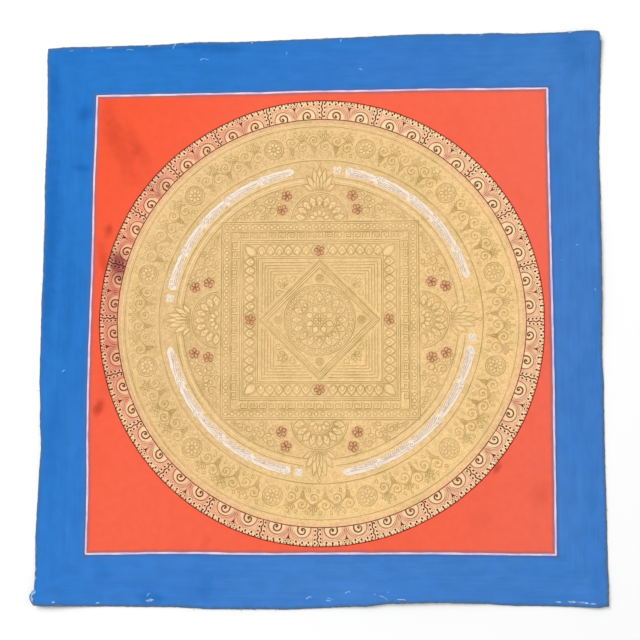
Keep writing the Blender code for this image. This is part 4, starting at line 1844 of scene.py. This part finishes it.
@dataclass
class Wear:
    """Chips that bare the ground near the cut edge, and light scratches in the blue."""

    chips: tuple[Mark, ...] = (
        Mark(-122, 250.6, 4, 0.6, 88), Mark(-61.6, 250.4, 2.6, 0.7, 175),
        Mark(-155.8, 249, 3.4, 0.5, 80), Mark(-193, 247.6, 5.5, 0.5, 88),
        Mark(225.1, 253.4, 5, 0.8, 88), Mark(251.8, 247.6, 4.6, 0.8, 176),
        Mark(-248.8, -223.4, 3.4, 0.6, 0), Mark(-248.6, -230.3, 3, 0.7, 176),
        Mark(-249.9, -242.7, 6, 1.4, 30), Mark(-250.8, -248, 6, 0.9, 164),
        Mark(-231.9, -251, 3.2, 0.7, 70), Mark(-193.7, -251.6, 4, 0.5, 88),
        Mark(-147.9, -249, 6.5, 1.1, 84), Mark(204, -246.6, 5.5, 0.7, 92),
        Mark(215.8, -246.4, 7, 1, 90), Mark(225, -246.8, 8, 0.8, 96), Mark(233, -247.6, 5, 0.6, 90),
        Mark(8, -247.6, 5, 0.5, 92), Mark(71, -245.6, 8, 0.5, 92),
    )
    scratches: tuple[Mark, ...] = (
        Mark(-228.6, 245.5, 3.6, 0.7, 70), Mark(-209.1, 245.1, 2.6, 0.5, 160),
        Mark(-173.8, 245.8, 7.5, 0.6, 92), Mark(-133.2, 248.2, 6.2, 1, 32),
        Mark(-105, 235.5, 8.6, 0.7, 86), Mark(19.9, 250.6, 3.6, 0.8, 170),
        Mark(37.9, 223.5, 3.4, 1.1, 96), Mark(-29.6, 239.8, 4, 0.5, 10),
        Mark(147.3, 253.6, 5.4, 0.8, 62), Mark(-228.9, -49.1, 3.2, 1, 70),
        Mark(227, 60.9, 2.4, 0.9, 80), Mark(213.7, 47.7, 2, 0.5, 60),
        Mark(241.6, 21, 2.4, 0.7, 170), Mark(-9, -245.1, 5.6, 1, 76), Mark(10, -246, 7, 0.5, 99),
        Mark(24.7, -240, 5.4, 0.9, 78), Mark(59.4, -239.6, 1.8, 0.9, 60),
        Mark(56, -244, 9, 0.5, 114), Mark(-148.9, -243.8, 5, 0.6, 40),
        Mark(48, -241.4, 2.2, 0.6, 100),
    )

    def build(self, workshop: Workshop) -> None:
        """Set the chips as ragged patches and the scratches as thin strokes."""
        bared = Brush(layer=0.07, crown=0.0, at=MIDDLE, seed=91)
        bearings = around(13)
        for chip in self.chips:
            radii = chip.wide * (1.0 + bared.rng.uniform(-0.35, 0.35, len(bearings)))
            drawn = polar(radii, bearings) * (1.0, 0.5 * chip.long / chip.wide)
            bared.patch(placed(drawn, (chip.x, chip.y), chip.bearing))
        bared.lay(workshop, "chips", Paint.CHIP)
        rubbed = Brush(layer=0.07, crown=0.01, step=0.8, shake=0.3, at=MIDDLE, seed=92)
        for mark in self.scratches:
            bow = arc(1.6 * mark.long, -18.0, 18.0) - (0.0, 1.6 * mark.long)
            path = placed(bow, (mark.x, mark.y), mark.bearing - 90.0)
            rubbed.stroke(path, mark.wide, taper=(1.2, 1.6))
        rubbed.lay(workshop, "scratches", Paint.SCRATCH)


@dataclass
class LooseThreads:
    """Short ends of thread that the cut has freed along the rim, each a square tube."""

    count: int = 90
    radius: float = 0.00012
    rooted: float = 0.0005  # how far inside the rim it starts
    spread: float = 60.0  # how far it turns from straight out, in degrees
    reach: Pair = (0.0009, 0.0030)
    bow: float = 0.0008  # how far its end bows to a side
    rise: Pair = (0.0004, 0.0009)  # how high it starts above the cloth's underside
    joints: int = 6
    inside: float = 3.0  # how far from the cut its finish takes it to be, in mm

    def thread(self, cloth: Cloth, start: Array, rng: np.random.Generator) -> Array:
        """The points of one thread, four round each joint.

        Args:
            cloth: the cloth that it leaves.
            start: its place on the rim.
            rng: gives it its heading, reach, bow and rise.

        Returns:
            The points, joint by joint.
        """
        out = start / np.hypot(*start)
        heading = turned(out, rng.uniform(-self.spread, self.spread))
        reach, side = rng.uniform(*self.reach), rng.uniform(-self.bow, self.bow)
        share = np.linspace(0.0, 1.0, self.joints)[:, None]
        spots = start - out * self.rooted + heading * reach * share
        spots = spots + np.array((-heading[1], heading[0])) * side * share ** 2
        low = cloth.lift(start[None])[0]
        height = low + rng.uniform(*self.rise) * (1.0 - share[:, 0] ** 2) + self.radius
        thin = self.radius * (1.0 - 0.5 * share[:, 0])
        across, up = np.array((-heading[1], heading[0], 0.0)), np.array((0.0, 0.0, 1.0))
        middle = np.column_stack((spots, height))
        ways = (across, up, -across, -up)
        return np.stack([middle + way * thin[:, None] for way in ways], 1).reshape(-1, 3)

    def build(self, workshop: Workshop) -> None:
        """Let each thread leave the rim, bow a little and come down towards the surface."""
        rng = np.random.default_rng(101)
        cut = workshop.cloth.rim(400)
        points, faces = [], []
        size = 4 * self.joints
        caps = np.array(((3, 2, 1, 0), (size - 4, size - 3, size - 2, size - 1)))
        for order, number in enumerate(rng.choice(len(cut), self.count, replace=False)):
            points.append(self.thread(workshop.cloth, cut[number], rng))
            faces.append(grid_faces(self.joints, 4, True, order * size))
            faces.append(caps + order * size)
        marks = {"from_cut": np.full(self.count * size, self.inside)}
        workshop.piece("loose_threads", np.concatenate(points), faces, Paint.RAW, marks,
                       plan=False)


# ---- The studio ----


@dataclass
class Studio:
    """A pale floor, soft light from above and the camera over the painting."""

    camera_at: Triple = (0.03978, -0.07334, 0.7949)
    camera_turn: Triple = (4.95, 2.80, -0.24)
    lens: float = 50.625
    sensor: float = 36.0
    key_at: Triple = (-2.3, 2.5, 3.6)
    key_side: float = 2.6
    key_watts: float = 175.0
    sky: float = 0.66
    floor_half: float = 6.0
    floor_at: float = -0.0002  # just under the cloth, so that the two don't share a plane
    floor_grey: float = 0.90

    def floor(self) -> None:
        """Lay a wide pale floor just under the cloth."""
        mesh = bpy.data.meshes.new("floor")
        half = self.floor_half
        mesh.from_pydata([(x * half, y * half, self.floor_at) for x, y in
                          ((-1, -1), (1, -1), (1, 1), (-1, 1))], [], [(0, 1, 2, 3)])
        made = bpy.data.objects.new("floor", mesh)
        bpy.context.scene.collection.objects.link(made)
        material = bpy.data.materials.new("pale_floor")
        material.use_nodes = True
        shader = material.node_tree.nodes["Principled BSDF"]
        shader.inputs["Base Color"].default_value = (*[self.floor_grey] * 3, 1.0)
        shader.inputs["Roughness"].default_value = 0.9
        shader.inputs["Specular IOR Level"].default_value = 0.1
        mesh.materials.append(material)
        made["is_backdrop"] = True

    def lights(self) -> None:
        """Light the room evenly, with a soft key light from the upper left."""
        world = bpy.data.worlds.new("studio")
        world.use_nodes = True
        sky = world.node_tree.nodes["Background"]
        sky.inputs["Color"].default_value = (1.0, 1.0, 1.0, 1.0)
        sky.inputs["Strength"].default_value = self.sky
        bpy.context.scene.world = world
        key = bpy.data.lights.new("key_light", "AREA")
        key.shape, key.size, key.energy = "SQUARE", self.key_side, self.key_watts
        lamp = bpy.data.objects.new("key_light", key)
        lamp.location = self.key_at
        lamp.rotation_euler = (-lamp.location).to_track_quat("-Z", "Y").to_euler()
        bpy.context.scene.collection.objects.link(lamp)

    def camera(self) -> None:
        """Set the camera over the painting, a little below its middle."""
        lens = bpy.data.cameras.new("camera")
        lens.lens, lens.sensor_width = self.lens, self.sensor
        lens.clip_start, lens.clip_end = 0.01, 20.0
        made = bpy.data.objects.new("camera", lens)
        made.rotation_mode = "ZYX"
        made.location = self.camera_at
        made.rotation_euler = [math.radians(turn) for turn in self.camera_turn]
        bpy.context.scene.collection.objects.link(made)
        bpy.context.scene.camera = made

    def build(self) -> None:
        """Set up the whole studio."""
        bpy.context.scene.view_settings.view_transform = "Standard"
        self.camera()
        self.lights()
        self.floor()


def corners() -> list[list[float]]:
    """The lowest and highest corner of what is shown, as plain lists."""
    return [list(corner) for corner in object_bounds()]


def main() -> None:
    """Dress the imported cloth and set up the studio."""
    logging.basicConfig(level=logging.INFO, format="%(name)s: %(message)s")
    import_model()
    Studio().build()
    workshop = Workshop(Cloth(), Effects())
    bare = BareCloth().build(workshop)
    for part in (FrameLine(), GoldGround(), OuterBand(), Court(), Heart(), CloudBand(),
                 Blossoms(), ScrollRing(), Wear(), LooseThreads()):
        LOG.info("building %s", type(part).__name__)
        part.build(workshop)
    LOG.info("%d pieces ride on %s", len(workshop.pieces), BODY)


if __name__ == "__main__":
    main()
